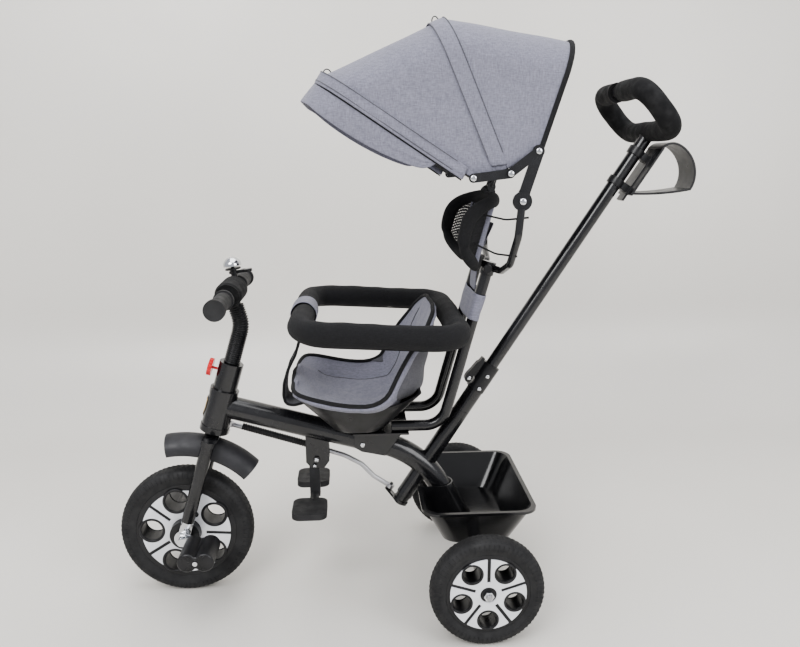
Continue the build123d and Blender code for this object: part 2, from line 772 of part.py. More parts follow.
def make_cup_holder():
    """A clip-on cage: a plate on two clamp rings, and a curved band that a cup drops into."""
    plate_at, band, half = -27.0, 4.0, 34.0
    with BuildPart() as holder:
        with BuildSketch(shaft.offset(726)):
            with Locations((plate_at, 0)):
                Rectangle(4, 30)
        extrude(amount=108)
        for low in (742, 806):
            with BuildSketch(shaft.offset(low)):
                Circle(push_r + 3)
                with Locations((plate_at / 2 - 4, 0)):
                    Rectangle(-plate_at - 10, 20)
            extrude(amount=14)
        with BuildSketch(side):
            with BuildLine():
                Spline((-905, 866), (-925, 876), (-951, 863), (-970, 822), (-962, 792))
            trace(line_width=band)
            with BuildLine():
                Spline((-962, 793), (-915, 787), (-856, 786))
            trace(line_width=band)
            with BuildLine():
                Line((-853, 783), (-908, 868))
            trace(line_width=band)
        extrude(amount=half, both=True)
        with BuildSketch(shaft.offset(700)):
            Circle(push_r)
        extrude(amount=150, mode=Mode.SUBTRACT)
    save("cup_holder", max_solid(holder.part))


def make_pushrod():
    """The steel link from the shaft's foot lever to the fork, with an eye at each end."""
    eye_r, eye_thick = 8.0, 8.0
    front = steer.from_local_coords(Vector(rod_arm_tip[0] - eye_r + 1, rod_arm_tip[1], rod_level))
    rear = shaft.from_local_coords(Vector(lever_tip[0] + eye_r - 1, lever_tip[1], 0))
    y = lever_tip[1]
    route = [rear, world(-374, 213, y), world(-350, 240, y), world(-316, 260, y),
             world(-248, 284, y), front]
    with BuildPart() as rod:
        add(tube_along(route, [25.0, 40.0, 90.0, 200.0], rod_r))
        with BuildSketch(shaft.offset(-eye_thick / 2)):
            with Locations(lever_tip):
                Circle(eye_r)
        extrude(amount=eye_thick)
        with BuildSketch(shaft.offset(-eye_thick)):
            with Locations(lever_tip):
                Circle(lever_pin_r + running_gap)
        extrude(amount=3 * eye_thick, mode=Mode.SUBTRACT)
        with BuildSketch(steer.offset(rod_level - eye_thick / 2)):
            with Locations(rod_arm_tip):
                Circle(eye_r)
        extrude(amount=eye_thick)
        with BuildSketch(steer.offset(rod_level - eye_thick)):
            with Locations(rod_arm_tip):
                Circle(lever_pin_r + running_gap)
        extrude(amount=2 * eye_thick, mode=Mode.SUBTRACT)
    save("pushrod", rod.part)


make_push_handle()
make_cup_holder()
make_pushrod()


# ---------------------------------------------------------------- footrest
def make_footrest():
    x, z = footrest_pivot
    plate_y, plate, pin_r = 9.0, 3.0, 4.0
    with BuildPart() as bracket:
        with BuildSketch(side):
            with BuildLine():
                Polyline(
                    (x - 25, tube_point(x - 25)), (x + 21, tube_point(x + 21)),
                    (x + 21, z - 6), (x + 11, z - 18), (x - 15, z - 18), (x - 25, z - 4),
                    (x - 25, tube_point(x - 25)),
                )
            make_face()
        extrude(amount=plate_y + plate, both=True)
        with BuildSketch(side):
            with Locations((x - 2, z - 4)):
                Rectangle(60, 60)
        extrude(amount=plate_y, both=True, mode=Mode.SUBTRACT)
        add(rod_between(world(x - 60, tube_point(x - 60)), world(x + 60, tube_point(x + 60)), tube_r),
            mode=Mode.SUBTRACT)
        with BuildSketch(ring_plane(x, z, -plate_y - plate - 4)):
            Circle(pin_r)
        extrude(amount=2 * (plate_y + plate + 4))
        for y in (-plate_y - plate - 4, plate_y + plate):
            with BuildSketch(ring_plane(x, z, y)):
                RegularPolygon(7, 6)
            extrude(amount=4)
            with BuildSketch(ring_plane(x + 4, z - 13, y)):
                Circle(4)
            extrude(amount=3.5 if y > 0 else 4)
    save("footrest_bracket", bracket.part)
    stem_half, stem_l = plate_y - clearance, 20.0
    with BuildPart() as footrest:
        with BuildSketch(side):
            with Locations((x + 5, (z + foot_pad_z) / 2 - 2)):
                Rectangle(stem_l, z - foot_pad_z + 4)
            with Locations((x, z)):
                Circle(10)
        extrude(amount=stem_half, both=True)
        with BuildSketch(ring_plane(x, z, -stem_half - 1)):
            Circle(pin_r + running_gap)
        extrude(amount=2 * stem_half + 2, mode=Mode.SUBTRACT)
        cross = foot_pad_y - foot_pad_w / 2 + 8
        with BuildSketch(ring_plane(x + 6, foot_pad_z - 2, -cross)):
            Circle(9)
        extrude(amount=2 * cross)
        for out in (1, -1):
            with BuildSketch(Plane(origin=world(x + 12, foot_pad_z - foot_pad_h / 2, out * foot_pad_y))):
                RectangleRounded(foot_pad_l, foot_pad_w, 16)
            extrude(amount=foot_pad_h)
    save("footrest", footrest.part)


make_footrest()


# ---------------------------------------------------------------- seat
def seat_loft(low, high, shrink):
    """A bowl between two heights of the seat pan's outer shape, shrunk all round."""
    span = seat_rim_z - seat_floor_z

    def size_at(z):
        share = (z - seat_floor_z) / span
        return (
            seat_floor_l + share * (seat_rim_l - seat_floor_l) - 2 * shrink,
            seat_floor_w + share * (seat_rim_w - seat_floor_w) - 2 * shrink,
        )

    with BuildPart() as bowl:
        for z in (low, high):
            with BuildSketch(Plane(origin=world(seat_centre_x, z))):
                RectangleRounded(*size_at(z), 38)
        loft()
    return bowl.part


def make_seat():
    wall, dip_r, dip = 4.0, 190.0, 20.0
    tall = seat_rim_z + 8
    with BuildPart() as pan:
        add(seat_loft(seat_floor_z, tall, 0))
        add(seat_loft(seat_floor_z + wall, tall + 5, wall), mode=Mode.SUBTRACT)
        with BuildSketch(ring_plane(seat_centre_x + 4, tall - dip - 10 + dip_r, -seat_rim_w)):
            Circle(dip_r)
        extrude(amount=2 * seat_rim_w, mode=Mode.SUBTRACT)
    save("seat_pan", max_solid(pan.part))
    inside, low = wall + clearance, seat_floor_z + wall + clearance
    with BuildPart() as lower:
        add(seat_loft(low, tall + 1, inside))
        with BuildSketch(side):
            Polygon(*back_outline(low - 1, tall + 1), align=None)
        extrude(amount=seat_rim_w, both=True, mode=Mode.INTERSECT)
    with BuildPart() as liner:
        add(seat_loft(low, seat_floor_z + 46, inside))
        add(lower.part)
        with BuildSketch(side):
            Polygon(*back_outline(tall + 1, 560.0), align=None)
        extrude(amount=132, both=True)
        for y in (-120, 132):
            with BuildSketch(side_plane(0, 0, 0, y)):
                Polygon((-442, tall + 1), (-402, tall + 4), (-422, 508), (-480, 552), align=None)
            extrude(amount=12)
    save("seat_liner", liner.part)


def back_outline(low, high):
    """The seat back's leaning slab between two heights, seen from the side."""
    thick, share = 20.0, 0.36

    def rear(z):
        return -452.0 - (z - 441) * share

    return (rear(low), low), (rear(high), high), (rear(high) + thick, high), (rear(low) + thick, low)


def make_seat_bracket():
    """A folded plate on the main tube that carries the pan and the foot of the back posts."""
    pan_top, post_low = seat_floor_z - clearance, post_foot[1] - post_r - clearance
    with BuildPart() as bracket:
        with BuildSketch(Plane(origin=world(-387, post_low - 4))):
            Rectangle(106, 132)
        extrude(amount=4)
        with BuildSketch(Plane(origin=world(-366, post_low - 4))):
            Rectangle(50, 90)
        extrude(amount=pan_top - post_low + 4)
        for y in (-tube_r - clearance, tube_r + clearance + 3):
            with BuildSketch(side_plane(0, 0, 0, y)):
                Polygon(
                    (-336, post_low - 4), (-336, 300), (-350, 291), (-396, 281), (-438, post_low - 4),
                    align=None,
                )
            extrude(amount=3)
    save("seat_bracket", bracket.part)


def make_back_posts():
    """Two tubes from under the seat that turn up and lean back."""
    with BuildPart() as posts:
        for y in (post_y, -post_y):
            top = post.from_local_coords(Vector(0, y, post_top))
            add(tube_along(
                [world(post_front_x, post_foot[1], y), world(post_foot[0], post_foot[1], y), top],
                [42.0], post_r, post_inner_r,
            ))
    save("back_posts", posts.part)


def make_guard_ring():
    """The padded safety ring round the seat: a steel tube in a foam sleeve, made as two halves."""
    def ring_at(x):
        return ring_z + (x - (ring_front_x + ring_rear_x) / 2) * sin(radians(ring_fall))

    half = [
        world(x, ring_at(x), y) for x, y in (
            (ring_front_x, 0), (ring_front_x, ring_half_w), (ring_rear_x, ring_half_w), (ring_rear_x, 0))
    ]
    for name, outer, inner in (("guard_ring_foam", ring_r, ring_tube_r), ("guard_ring_tube", ring_tube_r, 7)):
        with BuildPart() as ring:
            add(tube_along(half, [62.0, 62.0], outer, inner))
            mirror(about=Plane.XZ)
        save(name, ring.part)
    with BuildPart() as strap:
        bar = (ring_front_x, ring_at(ring_front_x))
        with BuildSketch(side):
            with Locations(bar):
                Circle(ring_r + clearance + 3)
                Circle(ring_r + clearance, mode=Mode.SUBTRACT)
            with BuildLine():
                Spline(
                    (bar[0] + 3, bar[1] - ring_r - 2), (-238, 492), (-212, 445), (-205, 410),
                    (-218, 387), (-271.5, 381),
                )
            trace(line_width=3)
        extrude(amount=30, both=True)
    save("crotch_strap", strap.part)


make_seat()
make_seat_bracket()
make_back_posts()
make_guard_ring()


# ---------------------------------------------------------------- basket
def basket_loft(low, high, shrink):
    span = rim_z - basket_floor_z

    def size_at(z):
        share = (z - basket_floor_z) / span
        return (
            basket_floor_l + share * (rim_l - basket_floor_l) - 2 * shrink,
            basket_floor_w + share * (rim_w - basket_floor_w) - 2 * shrink,
        )

    with BuildPart() as tub:
        for z in (low, high):
            with BuildSketch(Plane(origin=world(-wheelbase, z))):
                RectangleRounded(*size_at(z), 30)
        loft()
    return tub.part


def make_basket():
    """A tub with a rolled rim and a channel in its front wall for the main tube."""
    way, lip = tube_r + 4, 5.0
    lean = Plane(origin=world(-504, 205.6), x_dir=(0, 1, 0), z_dir=(-0.463, 0, -0.886))
    ahead = 70.0
    with BuildPart() as channel:
        with BuildSketch(lean.offset(-60)):
            Circle(way + basket_wall)
            with Locations((0, ahead / 2)):
                Rectangle(2 * (way + basket_wall), ahead)
        extrude(amount=160)
    with BuildPart() as hollow:
        add(basket_loft(basket_floor_z + basket_wall, rim_z + lip, basket_wall))
        add(channel.part, mode=Mode.SUBTRACT)
    with BuildPart() as basket:
        add(basket_loft(basket_floor_z, rim_z, 0))
        with BuildSketch(Plane(origin=world(-wheelbase, rim_z - lip))):
            RectangleRounded(rim_l + 2 * lip, rim_w + 2 * lip, 32)
        extrude(amount=lip)
        add(hollow.part, mode=Mode.SUBTRACT)
        with BuildSketch(lean.offset(-90)):
            Circle(way)
            with Locations((0, ahead)):
                Rectangle(2 * way, 2 * ahead)
        extrude(amount=200, mode=Mode.SUBTRACT)
    save("basket", max_solid(basket.part))
    with BuildPart() as cradle:
        top = basket_floor_z - clearance
        for y in (-70, 50):
            with BuildSketch(side_plane(0, 0, 0, y)):
                with Locations((-wheelbase, (top + rear_wheel_r) / 2)):
                    Rectangle(34, top - rear_wheel_r)
            extrude(amount=-20)
        with BuildSketch(ring_plane(-wheelbase, rear_wheel_r, -90)):
            Circle(axle_tube_r)
        extrude(amount=180, mode=Mode.SUBTRACT)
    save("basket_brackets", cradle.part)


make_basket()


# ---------------------------------------------------------------- canopy
def make_canopy_arms():
    """Two arms that plug into the back posts and reach out to the canopy pivots."""
    cap_r, plate_r, plate, pin_r, arm_pin_y = 13.0, 16.0, 5.0, 4.0, 146.0
    with BuildPart() as arms:
        for out in (1, -1):
            with BuildSketch(post.offset(post_top - 60)):
                with Locations((0, out * post_y)):
                    Circle(post_inner_r - running_gap)
            extrude(amount=60 + clearance)
            with BuildSketch(post.offset(post_top + clearance)):
                with Locations((0, out * post_y)):
                    Circle(cap_r)
            extrude(amount=24)
            start = post.from_local_coords(Vector(0, out * post_y, post_top + 14))
            x, z = arm_pivot
            route = [start, world(-607, 652, out * 75), world(-611, 672, out * 128),
                     world(-616, 722, out * arm_half_y), world(x + 1, z - 12, out * arm_half_y)]
            add(tube_along(route, [12.0, 20.0, 25.0], 6.5))
            for low, thick, r in (
                (-plate / 2, plate, plate_r), (plate / 2 - 0.1, 3, 6),
                (-arm_half_y + arm_pin_y, arm_half_y - arm_pin_y, pin_r),
            ):
                mid = out * (arm_half_y + low + thick / 2)
                add(disc(x, z, mid - thick / 2, thick, r))
    save("canopy_arms", arms.part)
    for hand, out in (("left", 1), ("right", -1)):
        with BuildPart() as knob:
            at = post.from_local_coords(Vector(4, out * (post_y + cap_r + 0.7), post_top + 12))
            with BuildSketch(Plane(origin=at, x_dir=(1, 0, 0), z_dir=(0, out, 0))):
                Circle(8)
            extrude(amount=10)
            fillet(knob.edges().filter_by(GeomType.CIRCLE), 1.5)
        save(f"canopy_knob_{hand}", knob.part)


def bow(foot, head, half, tube):
    """A canopy bow: up one side, across the top, and down the other side."""
    points = [world(*foot, half), world(*head, half), world(*head, -half), world(*foot, -half)]
    return tube_along(points, [bow_bend, bow_bend], tube)


def link(a, b, y, thick, width):
    """A flat link between two pivots, with round ends, that starts at y and grows towards +Y."""
    run, rise = b[0] - a[0], b[1] - a[1]
    with BuildPart() as bar:
        with BuildSketch(side_plane(0, 0, 0, y)):
            with Locations((a[0] + run / 2, a[1] + rise / 2)):
                SlotOverall(
                    (run**2 + rise**2) ** 0.5 + width, width, rotation=degrees(atan2(rise, run))
                )
        extrude(amount=-thick)
    return bar.part


def canopy_lump(sections, half, bend):
    """A solid under a canopy: arched sections fanned out about the hub, joined in turn."""
    low = 26.0
    with BuildPart() as lump:
        for angle, r in sections:
            up = Vector(cos(radians(angle)), 0, sin(radians(angle)))
            plane = Plane(origin=world(*hub_point), x_dir=(0, 1, 0), z_dir=(up.Z, 0, -up.X))
            with BuildSketch(plane):
                side_top = [(half, r - bend), (half - 0.13 * bend, r - 0.5 * bend),
                            (half - 0.5 * bend, r - 0.13 * bend), (half - bend, r)]
                Polygon(
                    (-half, low), (half, low), *side_top, *[(-y, up_r) for y, up_r in side_top[::-1]],
                    align=None,
                )
        loft(ruled=True)
    return lump.part


def canopy_shell(sections, half, thick):
    """A canopy's roof and sides: a lump with a smaller one taken out, open underneath."""
    first, last = sections[0][0], sections[-1][0]
    inner = [(angle, r - thick) for angle, r in sections]
    inner[0] = (first - 0.6, inner[0][1])
    inner[-1] = (last + 0.6, inner[-1][1])
    with BuildPart() as shell:
        add(canopy_lump(sections, half, bow_bend))
        add(canopy_lump(inner, half - thick, bow_bend - thick), mode=Mode.SUBTRACT)
        with BuildSketch(ring_plane(*hub_point, -half + thick)):
            Circle(60)
        extrude(amount=2 * (half - thick), mode=Mode.SUBTRACT)
    return shell.part


def make_canopy_covers():
    """The mesh and fabric covers over the bows, each kept clear of the next as they fold."""
    rear = canopy_shell([(64.5, 262.4), (86, 238), (109, 237.7), (113.3, 237.7)], 143.2, cover_skin)
    save("rear_canopy", rear)
    front = canopy_shell([(18.5, 361), (27.3, 350.7), (61.4, 282.2), (67.9, 282.2)], 153.3, cover_skin)
    with BuildPart() as cover:
        add(front)
        for y in (-153.3 + cover_skin, 153.3):
            with BuildSketch(side_plane(0, 0, 0, y)):
                Polygon((-257, 945), (-470, 828), (-574, 830), (-500, 872), (-300, 946), align=None)
            extrude(amount=cover_skin)
    save("front_canopy", cover.part)


def make_canopy_bows():
    """The three bows, their links and pivot pins."""
    rear_foot, rear_head = (-626.0, 793.0), (-704.0, 1036.0)
    mid_head, front_head = (-494.0, 1071.0), (-294.0, 980.0)
    bow_y, rail, pin_r = 147.0, 3.5, 3.4
    rear_y, front_y, pin_end = 156.0, 160.0, 166.0
    with BuildPart() as rear:
        add(bow(rear_foot, rear_head, bow_y, bow_r))
        for out in (1, -1):
            y = rear_y if out > 0 else -rear_y - rail
            add(link(hub_point, rear_link_end, y, rail, 15))
            add(link(rear_link_end, arm_pivot, y, rail, 18))
            for at, low, high, r in (
                (hub_point, 142.5, pin_end, pin_r), (hub_point, pin_end - 1, pin_end + 2, 6),
                (rear_link_end, bow_y, rear_y + 1, 10), (rear_foot, bow_y, rear_y + 1, 9),
            ):
                add(disc(*at, low if out > 0 else -high, high - low, r))
        add(disc(*arm_pivot, -180, 360, 4 + running_gap), mode=Mode.SUBTRACT)
    save("rear_bow", rear.part)
    with BuildPart() as mid:
        add(bow(hub_point, mid_head, bow_y, bow_r))
        add(disc(*hub_point, bow_y - rail, 2 * rail, 7))
        add(disc(*hub_point, -bow_y - rail, 2 * rail, 7))
        add(disc(*hub_point, -pin_end, 2 * pin_end, pin_r + running_gap), mode=Mode.SUBTRACT)
    save("mid_bow", mid.part)
    with BuildPart() as front:
        add(bow(front_link_end, front_head, bow_y, bow_r))
        for out in (1, -1):
            y = front_y if out > 0 else -front_y - rail
            add(link(hub_point, front_link_end, y, rail, 15))
            low, high = bow_y - rail, front_y + 1
            add(disc(*front_link_end, low if out > 0 else -high, high - low, 5))
        add(disc(*hub_point, -pin_end, 2 * pin_end, pin_r + running_gap), mode=Mode.SUBTRACT)
    save("front_bow", front.part)


def make_headrest():
    """A padded wrap tied across the tops of the back posts, with a wing on each side."""
    thick, low, high = 14.0, 298.0, 446.0
    flat = 20.3
    with BuildPart() as headrest:
        with BuildSketch(post.offset(low)):
            with BuildLine():
                Polyline(
                    (96, 118), (52, 110), (flat, 84), (flat, -84), (52, -110), (96, -118)
                )
            trace(line_width=thick)
        extrude(amount=high - low)
    save("headrest", headrest.part)


make_canopy_arms()
make_canopy_bows()
make_canopy_covers()
make_headrest()
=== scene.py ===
"""The looks of a child's tricycle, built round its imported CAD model."""
from math import cos, hypot, pi, radians, sin

import bmesh
import bpy
from mathutils import Matrix, Vector, noise
from mathutils.bvhtree import BVHTree


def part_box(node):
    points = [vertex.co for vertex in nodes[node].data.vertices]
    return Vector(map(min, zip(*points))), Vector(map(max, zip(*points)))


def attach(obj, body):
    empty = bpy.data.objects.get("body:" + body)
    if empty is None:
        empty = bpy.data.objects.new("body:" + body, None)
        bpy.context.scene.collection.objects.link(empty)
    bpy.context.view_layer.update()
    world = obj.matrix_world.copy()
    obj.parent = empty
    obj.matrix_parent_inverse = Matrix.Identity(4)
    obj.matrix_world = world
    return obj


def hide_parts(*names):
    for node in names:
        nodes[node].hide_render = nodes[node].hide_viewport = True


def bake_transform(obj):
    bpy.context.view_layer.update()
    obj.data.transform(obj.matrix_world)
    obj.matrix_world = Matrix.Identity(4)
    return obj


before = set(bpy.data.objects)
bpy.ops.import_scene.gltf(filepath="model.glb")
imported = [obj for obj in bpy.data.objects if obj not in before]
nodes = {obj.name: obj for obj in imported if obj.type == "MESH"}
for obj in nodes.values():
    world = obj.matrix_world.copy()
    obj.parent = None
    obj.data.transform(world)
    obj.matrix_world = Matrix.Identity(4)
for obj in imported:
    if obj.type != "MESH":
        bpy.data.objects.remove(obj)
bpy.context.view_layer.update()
MM = 0.001


def centre(node):
    low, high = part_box(node)
    return (low + high) / 2


FRONT_AXLE = centre("front_rim")


def at(x, z, y=0.0):
    """A point given in millimetres: ahead of the front axle, above the floor, to the rider's left."""
    return Vector((FRONT_AXLE.x + x * MM, y * MM, z * MM))


# ---------------------------------------------------------------- materials
def node_set(name):
    mat = bpy.data.materials.new(name)
    mat.use_nodes = True
    return mat, mat.node_tree.nodes, mat.node_tree.links, mat.node_tree.nodes["Principled BSDF"]


def coordinates(nds, lks, scale):
    """Object coordinates, in metres, stretched by scale."""
    where = nds.new("ShaderNodeTexCoord")
    stretch = nds.new("ShaderNodeMapping")
    stretch.inputs["Scale"].default_value = scale
    lks.new(where.outputs["Object"], stretch.inputs["Vector"])
    return stretch.outputs["Vector"]


def noise_at(nds, lks, scale, size=(1, 1, 1), detail=3.0):
    grain = nds.new("ShaderNodeTexNoise")
    grain.inputs["Scale"].default_value = scale
    grain.inputs["Detail"].default_value = detail
    lks.new(coordinates(nds, lks, size), grain.inputs["Vector"])
    return grain.outputs["Fac"]


def spread(nds, lks, value, low, high):
    """Maps a texture's middle range onto low to high."""
    ranger = nds.new("ShaderNodeMapRange")
    ranger.inputs["From Min"].default_value = 0.3
    ranger.inputs["From Max"].default_value = 0.7
    ranger.inputs["To Min"].default_value = low
    ranger.inputs["To Max"].default_value = high
    lks.new(value, ranger.inputs["Value"])
    return ranger.outputs["Result"]


def two_tone(nds, lks, shader, value, dark, light):
    ramp = nds.new("ShaderNodeValToRGB")
    ramp.color_ramp.elements[0].position = 0.32
    ramp.color_ramp.elements[0].color = (*dark, 1)
    ramp.color_ramp.elements[1].position = 0.68
    ramp.color_ramp.elements[1].color = (*light, 1)
    lks.new(value, ramp.inputs["Fac"])
    lks.new(ramp.outputs["Color"], shader.inputs["Base Color"])


def bump(nds, lks, shader, heights, distance):
    """Adds up height textures into one bump."""
    total = heights[0]
    for height in heights[1:]:
        adder = nds.new("ShaderNodeMath")
        lks.new(total, adder.inputs[0])
        lks.new(height, adder.inputs[1])
        total = adder.outputs["Value"]
    relief = nds.new("ShaderNodeBump")
    relief.inputs["Distance"].default_value = distance
    relief.inputs["Strength"].default_value = 0.6
    lks.new(total, relief.inputs["Height"])
    lks.new(relief.outputs["Normal"], shader.inputs["Normal"])


def hard_material(name, dark, light, rough, metal=0.0, coat=0.0, grain=260.0, depth=0.00006, size=(1, 1, 1)):
    """Paint, plated metal or moulded plastic: a faint colour drift, uneven gloss and a fine grain."""
    mat, nds, lks, shader = node_set(name)
    shader.inputs["Metallic"].default_value = metal
    shader.inputs["Coat Weight"].default_value = coat
    shader.inputs["Coat Roughness"].default_value = 0.12
    two_tone(nds, lks, shader, noise_at(nds, lks, 28.0), dark, light)
    worn = noise_at(nds, lks, 60.0, size, 6.0)
    lks.new(spread(nds, lks, worn, rough * 0.8, rough * 1.25), shader.inputs["Roughness"])
    bump(nds, lks, shader, [noise_at(nds, lks, grain, size)], depth)
    return mat


def wave_at(nds, lks, scale, direction, size=(1, 1, 1)):
    wave = nds.new("ShaderNodeTexWave")
    wave.bands_direction = direction
    wave.inputs["Scale"].default_value = scale
    wave.inputs["Distortion"].default_value = 0.6
    wave.inputs["Detail"].default_value = 1.0
    lks.new(coordinates(nds, lks, size), wave.inputs["Vector"])
    return wave.outputs["Fac"]


def cloth_material(name, dark, light, thread=420.0, depth=0.00012, sheen=0.2):
    """A melange weave: pale and dark threads both ways, soft sheen, and a slubby surface."""
    mat, nds, lks, shader = node_set(name)
    shader.inputs["Roughness"].default_value = 0.92
    shader.inputs["Sheen Weight"].default_value = sheen
    shader.inputs["Sheen Roughness"].default_value = 0.5
    mixer = nds.new("ShaderNodeMix")
    mixer.data_type = "FLOAT"
    lks.new(noise_at(nds, lks, 620.0, (0.2, 0.2, 1), 4.0), mixer.inputs["A"])
    lks.new(noise_at(nds, lks, 620.0, (1, 1, 0.2), 4.0), mixer.inputs["B"])
    two_tone(nds, lks, shader, mixer.outputs["Result"], dark, light)
    threads = [wave_at(nds, lks, thread, axis) for axis in ("X", "Y", "Z")]
    bump(nds, lks, shader, threads + [noise_at(nds, lks, 90.0)], depth)
    return mat


def net_material(name, colour):
    """Open net: crossing threads with clear holes between them."""
    mat, nds, lks, shader = node_set(name)
    shader.inputs["Base Color"].default_value = (*colour, 1)
    shader.inputs["Roughness"].default_value = 0.75
    across = wave_at(nds, lks, 150.0, "DIAGONAL", (1, 1, 1))
    back = wave_at(nds, lks, 150.0, "DIAGONAL", (1, -1, 1))
    most = nds.new("ShaderNodeMath")
    most.operation = "MAXIMUM"
    lks.new(across, most.inputs[0])
    lks.new(back, most.inputs[1])
    hole = nds.new("ShaderNodeMath")
    hole.operation = "GREATER_THAN"
    hole.inputs[1].default_value = 0.62
    lks.new(most.outputs["Value"], hole.inputs[0])
    lks.new(hole.outputs["Value"], shader.inputs["Alpha"])
    bump(nds, lks, shader, [across, back], 0.0003)
    return mat


BLACK = (0.006, 0.006, 0.007)
PAINT = hard_material("black paint", BLACK, (0.012, 0.012, 0.014), 0.24, coat=0.55, grain=180.0, depth=0.00004)
CHROME = hard_material("chrome plate", (0.62, 0.63, 0.65), (0.72, 0.73, 0.75), 0.11, metal=1.0, grain=900.0,
                       depth=0.00001)
STEEL = hard_material("drawn steel", (0.42, 0.42, 0.44), (0.55, 0.55, 0.57), 0.34, metal=1.0, grain=700.0,
                      depth=0.00002, size=(1, 0.1, 1))
PLASTIC = hard_material("black plastic", (0.008, 0.008, 0.009), (0.016, 0.016, 0.018), 0.33, grain=900.0)
BASKET = hard_material("basket plastic", (0.006, 0.006, 0.007), (0.011, 0.011, 0.012), 0.2, coat=0.4, grain=500.0,
                       depth=0.00003)
MATT = hard_material("matt black plastic", (0.012, 0.012, 0.013), (0.026, 0.026, 0.028), 0.62, grain=1400.0,
                     depth=0.0001)
GUARD = hard_material("mudguard plastic", (0.022, 0.022, 0.025), (0.034, 0.034, 0.038), 0.5, grain=1100.0,
                      depth=0.00008)
WHITE = hard_material("white satin plastic", (0.70, 0.71, 0.74), (0.80, 0.81, 0.83), 0.32, grain=900.0,
                      depth=0.00003)
RED = hard_material("red plastic", (0.55, 0.012, 0.014), (0.68, 0.02, 0.02), 0.28, coat=0.4, grain=600.0,
                    depth=0.00003)
TYRE = hard_material("tyre rubber", (0.012, 0.012, 0.013), (0.024, 0.024, 0.025), 0.68, grain=700.0, depth=0.00018)
FOAM = hard_material("black foam", (0.005, 0.005, 0.006), (0.012, 0.012, 0.013), 0.88, grain=1300.0, depth=0.0005)
GOLD = hard_material("gold line", (0.62, 0.45, 0.20), (0.74, 0.56, 0.30), 0.3, metal=1.0)
LABEL = hard_material("pale label", (0.62, 0.62, 0.60), (0.70, 0.70, 0.68), 0.55)
GREY = cloth_material("grey melange", (0.150, 0.150, 0.190), (0.265, 0.265, 0.325))
# A darker copy of the grey cloth, painted shade: used for the backrest's outer face, the seam creases and the strap's
# hanging tail.
GREY_SHADE = cloth_material("grey cloth in painted shade", (0.065, 0.065, 0.075), (0.12, 0.12, 0.135))
PIPING = cloth_material("black binding", (0.006, 0.006, 0.007), (0.018, 0.018, 0.020), 800.0, 0.0002, 0.03)
WRAP = cloth_material("black cover cloth", (0.004, 0.004, 0.005), (0.012, 0.012, 0.014), 300.0, 0.0004, 0.04)
NET = net_material("black net", (0.016, 0.016, 0.018))

FINISHES = {
    PAINT: "main_frame handle_socket fork back_posts push_tube canopy_arms rear_bow mid_bow front_bow "
           "basket_brackets seat_bracket stem footrest_bracket steering_shaft head_cover",
    CHROME: "fork_dropouts front_axle_nuts bell_dome frame_fasteners crankshaft handlebar",
    STEEL: "rear_axle guard_ring_tube pushrod",
    PLASTIC: "front_rim rear_rim_left rear_rim_right clamp_collar clamp_lever cup_holder seat_pan bell_base "
             "bell_lever canopy_knob_left canopy_knob_right pedal_left pedal_right",
    BASKET: "basket",
    MATT: "head_bushes grips footrest stem_sleeve clutch_pin",
    GUARD: "mudguard head_badge",
    WHITE: "front_covers rear_cover_left rear_cover_right",
    RED: "steering_knob",
    TYRE: "front_tyre rear_tyre_left rear_tyre_right",
}
SMOOTH_ANGLE = radians(32)


def dress_cad():
    """Gives the CAD nodes their finishes, smooth shading and a small rounded edge."""
    for mat, names in FINISHES.items():
        for name in names.split():
            node = nodes[name]
            mesh = node.data
            mesh.materials.clear()
            mesh.materials.append(mat)
            if "custom_normal" in mesh.attributes:
                mesh.attributes.remove(mesh.attributes["custom_normal"])
            weld = node.modifiers.new("weld", "WELD")
            weld.merge_threshold = 0.000002
            edge = node.modifiers.new("edge", "BEVEL")
            edge.width = 0.0006
            edge.segments = 2
            edge.limit_method = "ANGLE"
            edge.angle_limit = radians(38)
            edge.use_clamp_overlap = True
            for face in mesh.polygons:
                face.use_smooth = True
            even = node.modifiers.new("even", "WEIGHTED_NORMAL")
            even.keep_sharp = True


# ---------------------------------------------------------------- mesh building
def piece(name, verts, faces, mat, body):
    mesh = bpy.data.meshes.new(name)
    mesh.from_pydata([tuple(v) for v in verts], [], faces)
    mesh.validate()
    mesh.materials.append(mat)
    for face in mesh.polygons:
        face.use_smooth = True
    obj = bpy.data.objects.new(name, mesh)
    bpy.context.scene.collection.objects.link(obj)
    if body:
        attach(obj, body)
    return obj


def grid_faces(rows, columns, wrap_rows=False, wrap_columns=False):
    faces = []
    for i in range(rows if wrap_rows else rows - 1):
        for j in range(columns if wrap_columns else columns - 1):
            i2, j2 = (i + 1) % rows, (j + 1) % columns
            faces.append((i * columns + j, i * columns + j2, i2 * columns + j2, i2 * columns + j))
    return faces


def settle(obj):
    """Turns the piece's modifiers into plain mesh."""
    done = bpy.data.meshes.new_from_object(obj.evaluated_get(bpy.context.evaluated_depsgraph_get()))
    obj.modifiers.clear()
    obj.data = done
    for face in done.polygons:
        face.use_smooth = True
    return obj


def thicken(obj, thickness, offset=1.0, levels=1):
    solid = obj.modifiers.new("solid", "SOLIDIFY")
    solid.thickness = thickness
    solid.offset = offset
    solid.use_even_offset = False
    if levels:
        soft = obj.modifiers.new("soft", "SUBSURF")
        soft.levels = soft.render_levels = levels
    return settle(obj)


